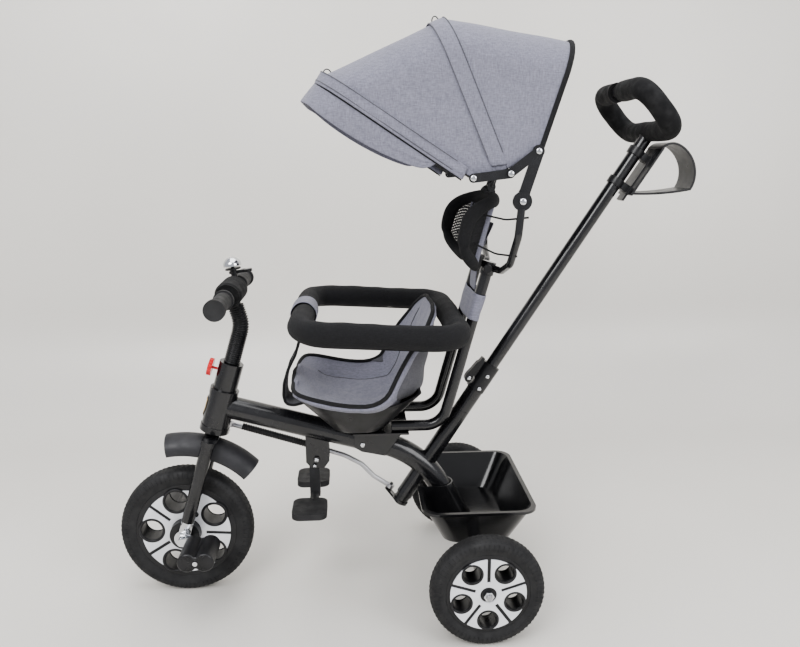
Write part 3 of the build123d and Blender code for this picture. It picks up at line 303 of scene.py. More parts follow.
def rounded_path(points, radius, closed=False, step=0.006):
    """Straight runs joined by arcs, as closely spaced points."""
    path = []
    count = len(points)
    for i, corner in enumerate(points):
        if not closed and i in (0, count - 1):
            path.append(corner.copy())
            continue
        before, after = points[i - 1], points[(i + 1) % count]
        into, out = (corner - before).normalized(), (after - corner).normalized()
        turn = into.angle(out)
        cut = min(radius * abs(sin(turn / 2) / cos(turn / 2)),
                  0.48 * (corner - before).length, 0.48 * (after - corner).length)
        parts = max(3, int(turn * radius / step))
        start, end = corner - into * cut, corner + out * cut
        for k in range(parts + 1):
            t = k / parts
            path.append((1 - t) ** 2 * start + 2 * t * (1 - t) * corner + t * t * end)
    if closed:
        path.append(path[0].copy())
    even = [path[0]]
    for a, b in zip(path, path[1:]):
        steps = max(1, int((b - a).length / step))
        even += [a.lerp(b, (k + 1) / steps) for k in range(steps)]
    if closed:
        even.pop()
    return even


def tube(name, path, radius, mat, body, up=Vector((0, 1, 0)), sides=20, closed=False, flat=1.0):
    """A tube along a path; radius is a number, or a function of the distance and the angle."""
    verts = []
    run = 0.0
    count = len(path)
    for i, point in enumerate(path):
        nearby = (path[(i + 1) % count] if closed or i < count - 1 else point) - (
            path[i - 1] if closed or i > 0 else point)
        along = nearby.normalized()
        side = along.cross(up).normalized()
        top = side.cross(along).normalized()
        if i:
            run += (point - path[i - 1]).length
        for k in range(sides):
            angle = 2 * pi * k / sides
            r = radius(run, angle) if callable(radius) else radius
            verts.append(point + side * (r * cos(angle)) + top * (r * flat * sin(angle)))
    faces = grid_faces(count, sides, wrap_rows=closed, wrap_columns=True)
    if not closed:
        faces.append(tuple(range(sides)))
        faces.append(tuple(range((count - 1) * sides, count * sides))[::-1])
    return piece(name, verts, [f[::-1] for f in faces], mat, body)


def dome(name, place, facing, radius, mat, body, height=0.45):
    """A domed rivet or screw head: a turned profile with a flat skirt."""
    facing = facing.normalized()
    side = facing.orthogonal().normalized()
    top = facing.cross(side)
    profile = [(1.0, 0.0), (1.0, 0.12), (0.93, 0.5 * height + 0.1)] + [
        (0.93 * cos(a), 0.5 * height + 0.1 + 0.5 * height * sin(a))
        for a in (0.5, 0.9, 1.25, 1.5)
    ]
    turns = 20
    verts = [
        place + facing * (h * radius) + (side * cos(2 * pi * k / turns) + top * sin(2 * pi * k / turns)) * (
            r * radius)
        for r, h in profile for k in range(turns)
    ]
    faces = grid_faces(len(profile), turns, wrap_columns=True)
    faces.append(tuple(range(turns))[::-1])
    faces.append(tuple(range(len(verts) - turns, len(verts))))
    return piece(name, verts, faces, mat, body)


def crumple(point, size, amount, seed=0.0):
    """A smooth small move for hand-worked cloth."""
    where = point / size + Vector((seed, seed * 1.7, -seed))
    return noise.noise_vector(where) * amount


# ---------------------------------------------------------------- canopy
HUB = (-600.0, 826.0)
REAR = ((-626.0, 793.0), (-704.0, 1036.0))
MIDDLE = (HUB, (-494.0, 1071.0))
FRONT = ((-539.0, 819.0), (-294.0, 980.0))
BOW_HALF, BOW_BEND, BOW_OUT = 147.0, 60.0, 4.2


def arch(line, low, out=BOW_OUT, shift=0.0, half=BOW_HALF, sides=14, arcs=9, tops=16):
    """Points over a bow, from its low end on the left, across the top, to the low end on the right."""
    (x0, z0), (x1, z1) = line
    length = hypot(x1 - x0, z1 - z0)
    dx, dz = (x1 - x0) / length, (z1 - z0) / length
    high, wide, bend = length + out, half + out, BOW_BEND + out
    flat = [(wide, low + (high - bend - low) * k / sides) for k in range(sides)]
    flat += [(wide - bend + bend * cos(pi / 2 * k / arcs), high - bend + bend * sin(pi / 2 * k / arcs))
             for k in range(arcs)]
    flat += [((wide - bend) * (1 - k / tops), high) for k in range(tops)]
    flat += [(0.0, high)]
    flat += [(-y, t) for y, t in flat[-2::-1]]
    return [at(x0 + dx * t + dz * shift, z0 + dz * t - dx * shift, y) for y, t in flat]


def sheet_between(name, arches, rows, mat, body, sag=0.0, thickness=0.0016, seed=1.0):
    """Cloth stretched over arches, eased in a little between them, with small pulls near its low ends."""
    grid = []
    for first, second in zip(arches, arches[1:]):
        last = second is arches[-1]
        for k in range(rows + (1 if last else 0)):
            u = k / rows
            grid.append([a.lerp(b, u) for a, b in zip(first, second)])
            ease = 4 * u * (1 - u)
            middle = at(*HUB)
            count = len(first)
            for j, point in enumerate(grid[-1]):
                inward = Vector((middle.x - point.x, 0, middle.z - point.z)).normalized()
                across = abs(2 * j / (count - 1) - 1)
                side_pull = Vector((0, -1 if point.y > 0 else 1, 0)) * (0.35 * across)
                point += (inward * (1 - across) + side_pull) * (sag * MM * ease)
                gather = max(0.0, across - 0.5) * 2.0
                pull = noise.noise(Vector((u * 9 + seed, seed, 0))) * 0.0032 * gather ** 2 * ease
                point += Vector((0, 1 if point.y > 0 else -1, 0)) * pull
                point += crumple(point, 0.02, 0.0014 * gather * ease, seed)
                point += crumple(point, 0.08, 0.0022 * ease, seed + 5)
    columns = len(grid[0])
    obj = piece(name, [p for row in grid for p in row], grid_faces(len(grid), columns), mat, body)
    return thicken(obj, thickness * (1 if thickness else 0), offset=0.0, levels=1)


def make_canopy():
    """The three bows' cover: two stretched panels, stitched channels over the bows, and a hanging visor."""
    rear_line, middle_line, front_line = arch(REAR, 73), arch(MIDDLE, 7), arch(FRONT, 3)
    rear = sheet_between("canopy_back_cloth", [rear_line, middle_line], 26, GREY, None, -2.0)
    front = sheet_between("canopy_front_cloth", [middle_line, front_line], 30, GREY, None, 3.0,
                          seed=3.0)
    middle_band = sheet_between(
        "canopy_middle_band",
        [arch(MIDDLE, 14, BOW_OUT + 1.4, shift=-3), arch(MIDDLE, 22, BOW_OUT + 1.6, shift=24)],
        8, GREY, "canopy_middle", thickness=0.0013, seed=7.0)
    front_band = sheet_between(
        "canopy_front_band",
        [arch(FRONT, 14, BOW_OUT + 2.4, shift=-10), arch(FRONT, 12, BOW_OUT + 2.6, shift=12)],
        8, GREY, "canopy_front", thickness=0.0030, seed=9.0)
    visor_edge = arch(((-482, 829), (-257, 944)), 0, out=0.0, half=BOW_HALF + BOW_OUT - 1.0)
    low_end, high_end = at(-482, 829).x, at(-257, 944).x
    for point in visor_edge:
        along = (point.x - low_end) / (high_end - low_end)
        if along < 0.93:
            point.z -= 0.017 * sin(pi * min(1.0, along / 0.93)) ** 0.7
        if along < 0.14:
            point.z += 0.020 * (1 - along / 0.14) ** 2
            point.x -= 0.006 * (1 - along / 0.14) ** 2
    visor = sheet_between("canopy_visor", [arch(FRONT, 60, BOW_OUT + 0.3, shift=1), visor_edge], 14, GREY,
                          "canopy_front", -3.0, seed=11.0)
    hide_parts("rear_canopy")
    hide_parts("front_canopy")
    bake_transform(rear)
    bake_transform(front)
    tube("canopy_rear_binding", arch(REAR, 34, BOW_OUT + 0.6, shift=-3), 0.0045, PIPING, "canopy_rear",
         up=Vector((0.3, 0.02, 1)).normalized(), sides=12)
    tube("canopy_front_binding", arch(FRONT, 14, BOW_OUT + 2.2, shift=13), 0.0012, PIPING, "canopy_front",
         up=Vector((0.3, 0.02, 1)).normalized(), sides=8)
    # Seam lines in the darker grey: painted shade in their creases.
    for name, line, shift, out, body in (
        ("middle_seam", MIDDLE, -3, 2.3, "canopy_middle"), ("middle_band_seam", MIDDLE, 23, 2.4, "canopy_middle"),
        ("front_seam", FRONT, -9, 4.2, "canopy_front"), ("front_hem_seam", FRONT, 7, 4.2, "canopy_front"),
    ):
        stitch(f"canopy_{name}", arch(line, 36, BOW_OUT + out, shift=shift), body)


def stitch(name, path, body):
    """A pressed seam line along a path: a very thin roll of darker cloth, painted shade in the seam's crease."""
    tube(name, path, 0.0007, GREY_SHADE, body, up=Vector((0.31, 0.02, 0.95)), sides=6)


# ---------------------------------------------------------------- seat liner
def catmull(values, place):
    """A smooth value between evenly spaced ones."""
    last = len(values) - 1
    k = min(int(place), last - 1)
    f = place - k
    a, b, c, d = (values[max(0, min(last, k + n))] for n in (-1, 0, 1, 2))
    return 0.5 * (2 * b + (c - a) * f + (2 * a - 5 * b + 4 * c - d) * f**2 + (3 * b - 3 * c + d - a) * f**3)


SEAT_RIM = [(-225, 443, 52), (-227, 446, 100), (-239, 446, 134), (-264, 441, 147), (-300, 432, 148),
            (-336, 427, 148), (-368, 427, 148), (-394, 440, 147), (-409, 468, 143), (-430, 506, 137),
            (-452, 537, 130), (-469, 561, 116), (-482, 580, 84)]
SEAT_FLOOR = [(-221, 446), (-229, 446), (-250, 429), (-282, 408), (-320, 400), (-356, 398), (-388, 400),
              (-418, 414), (-438, 456), (-452, 500), (-465, 536), (-477, 566), (-487, 584)]
SEAT_BACK = [(-465, 428), (-468, 448), (-468, 472), (-474, 500), (-480, 528), (-485, 552), (-489, 576)]


def shell_rows(rim, middle, rows, columns, power, worn):
    """Rows of points from one rim, down through a middle line, to the other rim."""
    grid = []
    for i in range(rows):
        place = i / (rows - 1)
        edge = [catmull([r[n] for r in rim], place * (len(rim) - 1)) for n in range(3)]
        low = [catmull([m[n] for m in middle], place * (len(middle) - 1)) for n in range(2)]
        row = []
        bend = power if place > 0.3 else power * (0.62 + 1.27 * place)
        for j in range(columns):
            t = 2 * j / (columns - 1) - 1
            rise = abs(t) ** bend
            point = at(low[0] + (edge[0] - low[0]) * rise, low[1] + (edge[1] - low[1]) * rise, edge[2] * t)
            worn_here = 1 - 0.7 * abs(t)
            point += crumple(point, 0.034, worn * worn_here, 2.0) + crumple(point, 0.013, worn * 0.3, 4.0)
            row.append(point)
        grid.append(row)
    return grid


def make_liner():
    """A padded lining: it fills the bucket, wraps its lip, and climbs into a winged backrest."""
    grid = shell_rows(SEAT_RIM, SEAT_FLOOR, 56, 33, 3.0, 0.0035)
    columns = len(grid[0])
    for i, row in enumerate(grid):
        for j, point in enumerate(row):
            t = 2 * j / (columns - 1) - 1
            dart = 0.0035 * max(0.0, 1 - abs(abs(t) - 0.62) / 0.05) * (1 if 12 < i < 50 else 0)
            fold = 0.006 * max(0.0, 1 - abs(i - 31) / 2.2) * max(0.0, 1 - abs(t))
            point += Vector((-0.35, 0, -0.9)) * (dart + fold)
    lining = piece("seat_cover", [p for r in grid for p in r], grid_faces(len(grid), columns), GREY, "frame")
    thicken(lining, 0.009, offset=-1.0, levels=1)
    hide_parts("seat_liner")
    # The backrest's outer face in the darker grey: painted shade, as this side faces away from the light.
    outer = shell_rows(SEAT_RIM[6:], SEAT_BACK, 26, 41, 5.0, 0.002)
    shell = piece("seat_cover_back", [p for r in outer for p in r], grid_faces(26, 41), GREY_SHADE, "frame")
    thicken(shell, 0.004, offset=0.0, levels=1)
    rim = [r[0] for r in grid] + grid[-1] + [r[-1] for r in grid[::-1]] + grid[0][::-1]
    smooth = [(rim[i - 1] + rim[i] + rim[(i + 1) % len(rim)]) / 3 for i in range(0, len(rim), 2)]
    tube("seat_cover_binding", smooth, 0.0038, PIPING, "frame", up=Vector((0.2, 0.1, 1)),
         sides=10, closed=True)
    # The dart seams in the darker grey: painted shade in their creases.
    for side in (6, columns - 7):
        seam = [grid[i][side] + Vector((0.001, 0, 0.0012)) for i in range(12, 50)]
        tube(f"seat_cover_seam_{side}", seam, 0.0009, GREY_SHADE, "frame", up=Vector((0, 1, 0.2)),
             sides=6)


# ---------------------------------------------------------------- guard ring, strap, sleeve
def ring_path():
    low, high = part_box("guard_ring_foam")
    r = (high.y - low.y) / 2 - 0.183
    front, rear, half = high.x - r, low.x + r, 0.183
    fall = sin(radians(3.1))
    middle_x, middle_z = (front + rear) / 2, (low.z + high.z) / 2
    corners = [Vector((x, y, middle_z + (x - middle_x) * fall))
               for x, y in ((front, half), (rear, half), (rear, -half), (front, -half))]
    return rounded_path(corners, 0.062, closed=True, step=0.005), r


def make_guard():
    path, r = ring_path()
    total = sum((b - a).length for a, b in zip(path, path[1:]))

    def swell(run, angle):
        turn = 4 * run / total
        return r - 0.0006 + 0.0006 * sin(11 * turn + 2 * angle) + 0.0004 * sin(37 * turn)

    foam = tube("guard_ring_cover", path, swell, WRAP, "frame", up=Vector((0, 0, 1)), sides=28,
                closed=True)
    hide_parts("guard_ring_foam")
    seam = [p + Vector((0, 0, -r - 0.0002)) for p in path]
    tube("guard_ring_seam", seam, 0.0011, PIPING, "frame", up=Vector((0, 0, 1)), sides=8, closed=True)


def ribbon(name, line, half, thickness, mat, body, seed=0.0, belly=0.0):
    """A flat strap along a side-view line, as wide as half to each side."""
    columns = 9
    verts = []
    for i, (point, width) in enumerate(line):
        for j in range(columns):
            t = 2 * j / (columns - 1) - 1
            moved = point + Vector((0, t * half * width, 0))
            moved += crumple(moved, 0.02, 0.0012, seed) + Vector((belly * (1 - t * t), 0, 0))
            verts.append(moved)
    obj = piece(name, verts, grid_faces(len(line), columns), mat, body)
    return thicken(obj, thickness, offset=0.0, levels=1)


def make_strap():
    """The crotch strap: a loop round the ring's front bar and a tail down to the seat cover's lip."""
    path, r = ring_path()
    bar = Vector((max(p.x for p in path), 0, [p.z for p in path if p.x == max(q.x for q in path)][0]))
    around = [bar + Vector((cos(a), 0, sin(a))) * (r + 0.0022) for a in
              [radians(-70 + 320 * k / 22) for k in range(23)]]
    loop = ribbon("strap_loop", [(p, 1.0) for p in around], 0.033, 0.002, GREY, "frame", 2.0)
    down = [at(*p) for p in ((-240, 541), (-236, 515), (-229, 490), (-214, 462), (-206, 436), (-204, 412),
                             (-208, 396), (-222, 392), (-244, 398), (-262, 406))]
    widths = [0.8, 0.75, 0.8, 0.9, 1.0, 1.0, 1.0, 1.0, 1.05, 1.1]
    # The hanging tail in the darker grey: painted shade under the ring; the loop keeps the plain grey.
    tail = ribbon("strap_tail", list(zip(down, widths)), 0.034, 0.0035, GREY_SHADE, "frame", 5.0)
    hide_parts("crotch_strap")
    for side in (1, -1):
        edge = [p + Vector((0.001, side * 0.034 * w, 0)) for p, w in zip(down, widths)]
        tube(f"strap_binding_{'left' if side > 0 else 'right'}", rounded_path(edge, 0.03, step=0.004), 0.0026,
             PIPING, "frame", sides=8)


def post_point(forward, side, up):
    """A point in the back posts' leaning frame, in millimetres."""
    lean = radians(15.2)
    return at(-503.5 + forward * cos(lean) - up * sin(lean), 354 + forward * sin(lean) + up * cos(lean), side)


def make_post_sleeve():
    verts = []
    levels, around = 12, 48
    for i in range(levels):
        up = 213 + 50 * i / (levels - 1)
        for k in range(around):
            angle = 2 * pi * k / around
            y = 57 * cos(angle)
            y = 55 * max(-1, min(1, 1.25 * cos(angle))) + 14 * cos(angle)
            x = 14.0 * sin(angle) * (1 if abs(cos(angle)) > 0.6 else 0.92)
            point = post_point(x, y, up)
            verts.append(point + crumple(point, 0.02, 0.0014, 6.0))
    obj = piece("post_sleeve", verts, grid_faces(levels, around, wrap_columns=True), GREY, "frame")
    thicken(obj, 0.002, offset=0.0, levels=1)


# ---------------------------------------------------------------- headrest
def headrest_point(run, up, out=0.0):
    """A point on the headrest's curved face: run across from -1 to 1, up in millimetres."""
    y = 124 * sin(run * pi / 2 * 0.86) / sin(pi / 2 * 0.86)
    x = 21 + 60 * abs(run) ** 3.0
    return post_point(x + out * cos(run), y, up)


def make_headrest():
    """A curved net with a thick padded border, tied across the posts."""
    outline = []
    turns = 96
    for k in range(turns):
        a = 2 * pi * k / turns
        run = abs(cos(a)) ** 0.62 * (1 if cos(a) > 0 else -1)
        rise = abs(sin(a)) ** 0.72 * (1 if sin(a) > 0 else -1)
        notch = 16 * max(0.0, 1 - abs(abs(run) - 0.3) / 0.25) if rise < 0 else 0.0
        outline.append(headrest_point(0.93 * run, 372 + 62 * rise + notch))
    border = tube("headrest_border", outline, lambda run, angle: 0.0088 + 0.0007 * sin(60 * run), WRAP, "frame",
                  up=Vector((0.2, 0.0, 1)).normalized(), sides=16, closed=True, flat=1.35)
    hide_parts("headrest")
    rows, columns = 15, 41
    verts = []
    for i in range(rows):
        for j in range(columns):
            v, run = 2 * i / (rows - 1) - 1, 2 * j / (columns - 1) - 1
            limit = (1 - abs(v) ** 2.6) ** 0.42 if abs(v) < 1 else 0.35
            verts.append(headrest_point(0.93 * run * max(limit, 0.35), 372 + 61 * v))
    net = piece("headrest_net", verts, grid_faces(rows, columns), NET, "frame")
    thicken(net, 0.0008, offset=0.0, levels=0)
    pad_rows = []
    for i in range(9):
        v = 2 * i / 8 - 1
        pad_rows.append([headrest_point(0.24 * (2 * j / 12 - 1), 372 + 52 * v, 4 + 3 * (1 - v * v)) for j in range(13)])
    pad = piece("headrest_middle", [p for r in pad_rows for p in r], grid_faces(9, 13), WRAP, "frame")
    thicken(pad, 0.006, offset=0.0, levels=2)
    back = ribbon("headrest_back_strip", [(post_point(6 + 9 * sin(pi * k / 10), 0, 262 + 13 * k), 1.0)
                                          for k in range(11)], 0.03, 0.002, GREY, "frame", 8.0)
    for side in (1, -1):
        hand = "left" if side > 0 else "right"
        trim = [headrest_point(side * 0.62, 372 + 56 * v, -3.5) for v in [k / 8 - 1 for k in range(17)]]
        tube(f"headrest_trim_{hand}", trim, 0.0052, GREY, "frame", up=Vector((0, 1, 0)), sides=12,
             flat=0.45)
        for n, (up, reach) in enumerate(((404, 420), (352, 352))):
            start = headrest_point(0.78 * side, up, -4)
            end = post_point(-24, side * 146, reach)
            sag = start.lerp(end, 0.5) + Vector((0, side * 0.004, -0.006))
            tube(f"headrest_tie_{hand}_{n}", rounded_path([start, sag, end], 0.03), 0.0016, PIPING, "frame",
                 up=Vector((0, 0, 1)), sides=8)


# ---------------------------------------------------------------- handle, bar and sleeves
def make_handle_foam():
    """The grip foam of the D loop, with a ball at each end of its gap."""
    tilt = radians(32.8)
    rise = radians(50)
    foot = at(-428 - 857 * sin(tilt), 177 + 857 * cos(tilt))
    up = Vector((cos(rise), 0, sin(rise)))
    middle = foot + up * 0.046
    corners = [(0.016, 0.046), (0.116, 0.046), (0.116, -0.046), (-0.116, -0.046), (-0.116, 0.046), (-0.016, 0.046)]
    path = rounded_path([middle + Vector((0, y, 0)) + up * v for y, v in corners], 0.041, step=0.004)
    normal = Vector((up.z, 0, -up.x))
    foam = tube("handle_grip", path, lambda run, a: 0.0184 + 0.0003 * sin(90 * run), FOAM, "push_handle",
                up=normal, sides=24)
    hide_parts("handle_foam")
    for side in (1, -1):
        end = middle + Vector((0, side * 0.016, 0)) + up * 0.046
        dome(f"handle_ball_{'left' if side > 0 else 'right'}", end, Vector((0, -side, 0)), 0.0115, PLASTIC,
             "push_handle", height=1.2)


def make_bar_pad():
    low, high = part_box("handlebar_pad")
    middle = (low + high) / 2
    r = (high.z - low.z) / 2
    path = [Vector((middle.x, low.y + 0.002 + (high.y - low.y - 0.004) * k / 40, middle.z)) for k in range(41)]
    half = (high.y - low.y) / 2

    def swell(run, angle):
        t = abs((run - half) / half)
        return r * (1 - 0.22 * max(0.0, t - 0.72) ** 2 / 0.078) * (1 - 0.02 * cos(3 * angle)) - 0.0003

    pad = tube("bar_pad_cover", path, swell, FOAM, "steering", up=Vector((0, 0, 1)), sides=28)
    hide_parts("handlebar_pad")


def bar_frame_point(forward, up):
    tilt = radians(17)
    return at(forward * cos(tilt) - up * sin(tilt), 130 + forward * sin(tilt) + up * cos(tilt))


def make_ribbed_sleeves():
    """The corrugated sleeve on the stem and the one over the steering rod."""
    path = rounded_path([bar_frame_point(0, 357), bar_frame_point(0, 434), bar_frame_point(20, 466)], 0.055,
                        step=0.0007)
    pitch = 0.0042

    def ribs(run, angle):
        return 0.0146 + 0.0012 * sin(2 * pi * run / pitch)

    sleeve = tube("stem_ribbed_sleeve", path, ribs, PLASTIC, "steering", sides=28)
    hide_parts("stem_sleeve")
    rod = rounded_path([at(-112, 328, -34), at(-180, 306, -34), at(-247, 284.5, -34)], 0.2, step=0.001)
    tube("rod_ribbed_sleeve", rod, lambda run, a: 0.0068 + 0.0008 * sin(2 * pi * run / 0.005), PLASTIC,
         "steering_rod", sides=20)


# ---------------------------------------------------------------- wheels
def surface_of(node, start, heading):
    """Where a ray meets a node, and the way the surface faces there."""
    tree = BVHTree.FromObject(nodes[node], bpy.context.evaluated_depsgraph_get())
    place, normal, _, _ = tree.ray_cast(start, heading.normalized())
    return place, normal


def make_tread(name, wheel, body, bars):
    """Thin raised bars round both shoulders of a tyre, and rows of low nubs on its crown."""
    low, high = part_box(wheel)
    middle = (low + high) / 2
    r, half = (high.z - low.z) / 2, (high.y - low.y) / 2
    build = bmesh.new()
    spots = []
    for side in (1, -1):
        out = Vector((0, side, 0))
        for inset, long, wide, high_by, shift in ((0.0115, 0.013, 0.0016, 0.0012, 0.0), (0.0275, 0.003, 0.05, 0.001, 0)):
            found = surface_of(wheel, middle + out * (half + 0.05) + Vector((0, 0, r - inset)), -out)
            if wide < 0.04:
                spots.append((found, long, wide, high_by, bars, 0.5 * (side < 0)))
        for part in (0.18, 0.62):
            top = middle + Vector((0, side * half * part, r + 0.05))
            spots.append((surface_of(wheel, top, Vector((0, 0, -1))), 0.0056, 0.0034, 0.0011, bars, part))
    for (place, normal), long, wide, high_by, count, phase in spots:
        if place is None:
            continue
        tangent = Vector((1, 0, 0))
        seat = Matrix((tangent, normal.cross(tangent), normal)).transposed().to_4x4()
        for k in range(count):
            turn = (Matrix.Translation(middle) @ Matrix.Rotation(2 * pi * (k + phase) / count, 4, "Y")
                    @ Matrix.Translation(-middle))
            block = turn @ Matrix.Translation(place) @ seat @ Matrix.Diagonal((wide, long, high_by, 1))
            bmesh.ops.create_cube(build, size=1.0, matrix=block)
    bmesh.ops.bevel(build, geom=build.edges[:], offset=0.0004, segments=1, affect="EDGES", clamp_overlap=True)
    finish_build(build, name, TYRE, body)


def finish_build(build, name, mat, body):
    mesh = bpy.data.meshes.new(name)
    build.to_mesh(mesh)
    build.free()
    mesh.materials.append(mat)
    obj = bpy.data.objects.new(name, mesh)
    bpy.context.scene.collection.objects.link(obj)
    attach(obj, body)
    return obj


def make_window_rings(name, covers, rim, body, radius, bite_at, start, tube_r=0.0029):
    """Black raised lips round the wheel's windows, on both faces."""
    low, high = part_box(covers)
    middle = centre(rim)
    for side, y in ((1, high.y), (-1, low.y)):
        for k in range(5):
            turn = radians(start + 72 * k)
            hub = Vector((middle.x + bite_at * cos(turn), y - side * 0.0006, middle.z - bite_at * sin(turn)))
            ring = [hub + Vector((radius * cos(a), 0, radius * sin(a))) for a in [2 * pi * j / 48 for j in range(48)]]
            tube(f"{name}_{'left' if side > 0 else 'right'}_{k}", ring, tube_r, PLASTIC, body,
                 sides=8, closed=True, flat=0.5)


def make_wheels():
    make_tread("front_tread", "front_tyre", "front_wheel", 84)
    make_tread("rear_tread_left", "rear_tyre_left", "left_rear_wheel", 68)
    make_tread("rear_tread_right", "rear_tyre_right", "right_rear_wheel", 68)
    make_window_rings("front_window_lip", "front_covers", "front_rim", "front_wheel", 0.0236, 0.067, -76)
    for hand in ("left", "right"):
        make_window_rings(f"rear_window_lip_{hand}", f"rear_cover_{hand}", f"rear_rim_{hand}",
                          f"{hand}_rear_wheel", 0.0180, 0.0495, -54, 0.0023)


# ---------------------------------------------------------------- small fittings
def both(name, x, z, y, radius, mat, body, slot):
    """A pair of domed heads, one on each side of the tricycle."""
    for side in (1, -1):
        hand = "left" if side > 0 else "right"
        dome(f"{name}_{hand}", at(x, z, side * y), Vector((0, side, 0)), radius * MM, mat, body)


def shaft_point(forward, side, up):
    tilt = radians(32.8)
    return at(-428 + forward * cos(tilt) - up * sin(tilt), 177 + forward * sin(tilt) + up * cos(tilt), side)


def make_fittings():
    both("hub_rivet", *HUB, 168.0, 5.5, CHROME, "canopy_rear", "chrome")
    both("front_link_rivet", -539, 819, 163.6, 5.5, CHROME, "canopy_front", "chrome")
    both("rear_link_rivet", -647, 862, 159.6, 5.5, CHROME, "canopy_rear", "chrome")
    both("arm_pivot_rivet", -621, 781, 168.4, 6.0, CHROME, "canopy_arms", "chrome")
    both("footrest_bolt", -261, 272, 16.0, 4.5, CHROME, "frame", "chrome")
    both("footrest_lower_bolt", -257, 259, 15.4, 3.5, CHROME, "frame", "chrome")
    both("seat_bolt", -352, 305, 25.8, 5.0, CHROME, "frame", "chrome")
    both("basket_bolt", -598, 119, 70.2, 3.5, CHROME, "frame", "chrome")
    for n, (forward, up, y) in enumerate(((-1.2, 308.7, 17.3), (-1.5, 279.5, 17.3))):
        for side in (1, -1):
            dome(f"collar_rivet_{n}_{'left' if side > 0 else 'right'}", shaft_point(forward, side * y, up),
                 Vector((0, side, 0)), 0.0042, CHROME, "handle_shaft")
    for side in (1, -1):
        dome(f"clamp_rivet_{'left' if side > 0 else 'right'}", shaft_point(25, side * 7.0, 286),
             Vector((0, side, 0)), 0.0045, CHROME, "clamp")
    for name, x, z, body in (("middle", -492, 1077.0, "canopy_middle"), ("front", -300, 988, "canopy_front")):
        foot = at(x, z, 0)
        loop = [foot + Vector((0.007 * cos(a), 0.009 * cos(a), 0.009 + 0.009 * sin(a)))
                for a in [2 * pi * k / 24 for k in range(24)]]
        tube(f"canopy_hook_{name}", loop, 0.0011, PAINT, body, up=Vector((1, 0, 0)), sides=8,
             closed=True)
        tail = [foot + Vector((0.016 * (1 - t), 0, -0.001 + 0.004 * t)) for t in (0, 0.5, 1)]
        tube(f"canopy_hook_tail_{name}", tail, 0.0013, PAINT, body, sides=8)


def make_badge_line():
    """A gold outline on the plain shield."""
    low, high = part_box("head_badge")
    middle = (low + high) / 2
    tall = (high.z - low.z) / 2
    lean = radians(17)
    outline = [(-1, 1), (1, 1), (1, 0), (0.6, -0.62), (0, -1), (-0.6, -0.62), (-1, 0)]
    path = []
    for a, b in rounded_outline(outline):
        y, s = a * 0.0105, b * (tall / cos(lean) - 0.0045)
        r = 0.0284
        forward = (r * r - y * y) ** 0.5
        foot = at(0, 130) + Vector((-sin(lean), 0, cos(lean))) * (0.258 + s)
        path.append(foot + Vector((cos(lean), 0, sin(lean))) * forward + Vector((0, y, 0)))
    tube("badge_line", path, 0.0008, GOLD, "frame", up=Vector((1, 0, 0.3)), sides=8, closed=True)
    assert middle.x > 0


def rounded_outline(corners):
    """Corners joined by short straight steps."""
    points = []
    for i, (a, b) in enumerate(corners):
        c, d = corners[(i + 1) % len(corners)]
        points += [(a + (c - a) * k / 6, b + (d - b) * k / 6) for k in range(6)]
    return points


def make_label():
    """A blank label on the basket's inner rear wall."""
    low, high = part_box("basket")
    x = low.x + 0.0145
    corners = [Vector((x + 0.014 * (1 - v), y, high.z - 0.050 + 0.030 * v))
               for y, v in ((0.03, 0), (0.08, 0), (0.08, 1), (0.03, 1))]
    obj = piece("basket_label", corners, [(0, 1, 2, 3)], LABEL, "frame")
    thicken(obj, 0.0003, offset=0.0, levels=0)


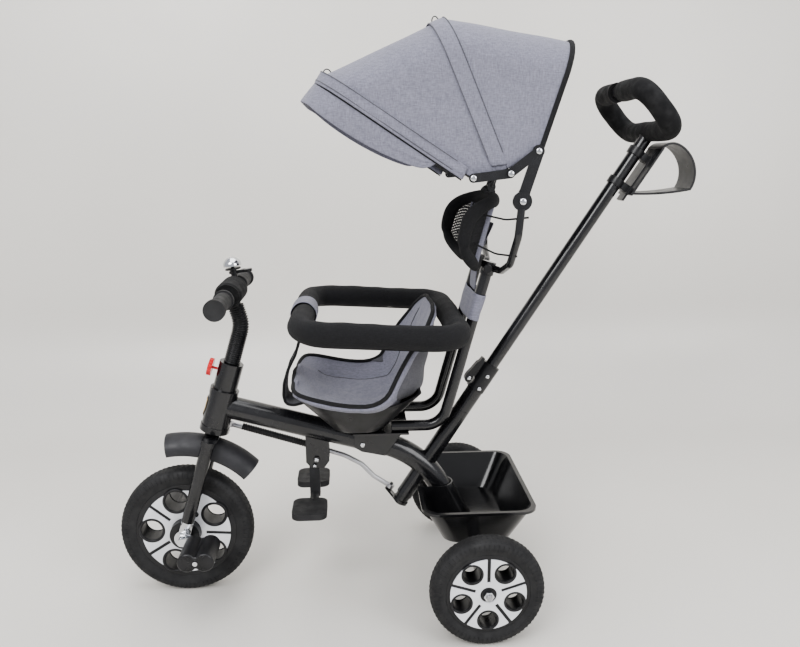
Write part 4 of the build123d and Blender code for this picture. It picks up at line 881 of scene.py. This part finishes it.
# ---------------------------------------------------------------- stage, light and camera
def make_stage():
    mat, nds, lks, shader = node_set("pale floor")
    two_tone(nds, lks, shader, noise_at(nds, lks, 0.8), (0.72, 0.70, 0.66), (0.78, 0.76, 0.72))
    lks.new(spread(nds, lks, noise_at(nds, lks, 3.0), 0.3, 0.42), shader.inputs["Roughness"])
    reach, wall, height, bend = 5.0, -1.1, 3.2, 0.35
    profile = [(3.5, 0.0), (wall + bend, 0.0)] + [
        (wall + bend - bend * sin(a), bend - bend * cos(a)) for a in [pi / 2 * k / 12 for k in range(1, 13)]
    ] + [(wall, height)]
    verts = [Vector((x, y, z)) for y, z in profile for x in (-reach, reach)]
    floor = piece("backdrop", verts, grid_faces(len(profile), 2), mat, None)
    world = bpy.data.worlds.new("soft light")
    bpy.context.scene.world = world
    world.use_nodes = True
    world.node_tree.nodes["Background"].inputs["Color"].default_value = (0.95, 0.96, 1.0, 1)
    world.node_tree.nodes["Background"].inputs["Strength"].default_value = 0.62
    for name, place, size, power in (
        ("key", (1.4, 2.4, 2.6), 1.8, 70), ("fill", (-1.9, 1.9, 1.6), 1.6, 32), ("top", (0.0, 0.2, 2.9), 2.2, 36),
    ):
        light = bpy.data.lights.new(name, "AREA")
        light.size = size
        light.energy = power
        lamp = bpy.data.objects.new(name, light)
        lamp.location = place
        lamp.visible_camera = False
        lamp.rotation_euler = (Vector((0, 0, 0.5)) - Vector(place)).to_track_quat("-Z", "Y").to_euler()
        bpy.context.scene.collection.objects.link(lamp)


def make_camera():
    yaw, pitch, roll = radians(-3.409), radians(-12.709), radians(-0.235)
    ahead = Vector((sin(yaw) * cos(pitch), -cos(yaw) * cos(pitch), sin(pitch)))
    right = ahead.cross(Vector((0, 0, 1))).normalized()
    up = right.cross(ahead)
    right, up = right * cos(roll) + up * sin(roll), up * cos(roll) - right * sin(roll)
    lens = bpy.data.cameras.new("camera")
    lens.sensor_width = 36.0
    lens.lens = 33.11
    camera = bpy.data.objects.new("camera", lens)
    turn = Matrix((right, up, -ahead)).transposed().to_4x4()
    camera.matrix_world = Matrix.Translation(at(-345.45, 852.5, 1377.73)) @ turn
    bpy.context.scene.collection.objects.link(camera)
    bpy.context.scene.camera = camera
    bpy.context.scene.view_settings.view_transform = "AgX"
    bpy.context.scene.view_settings.look = "AgX - Medium High Contrast"


dress_cad()
make_canopy()
make_liner()
make_guard()
make_strap()
make_post_sleeve()
make_headrest()
make_handle_foam()
make_bar_pad()
make_ribbed_sleeves()
make_wheels()
make_fittings()
make_badge_line()
make_label()
make_stage()
make_camera()
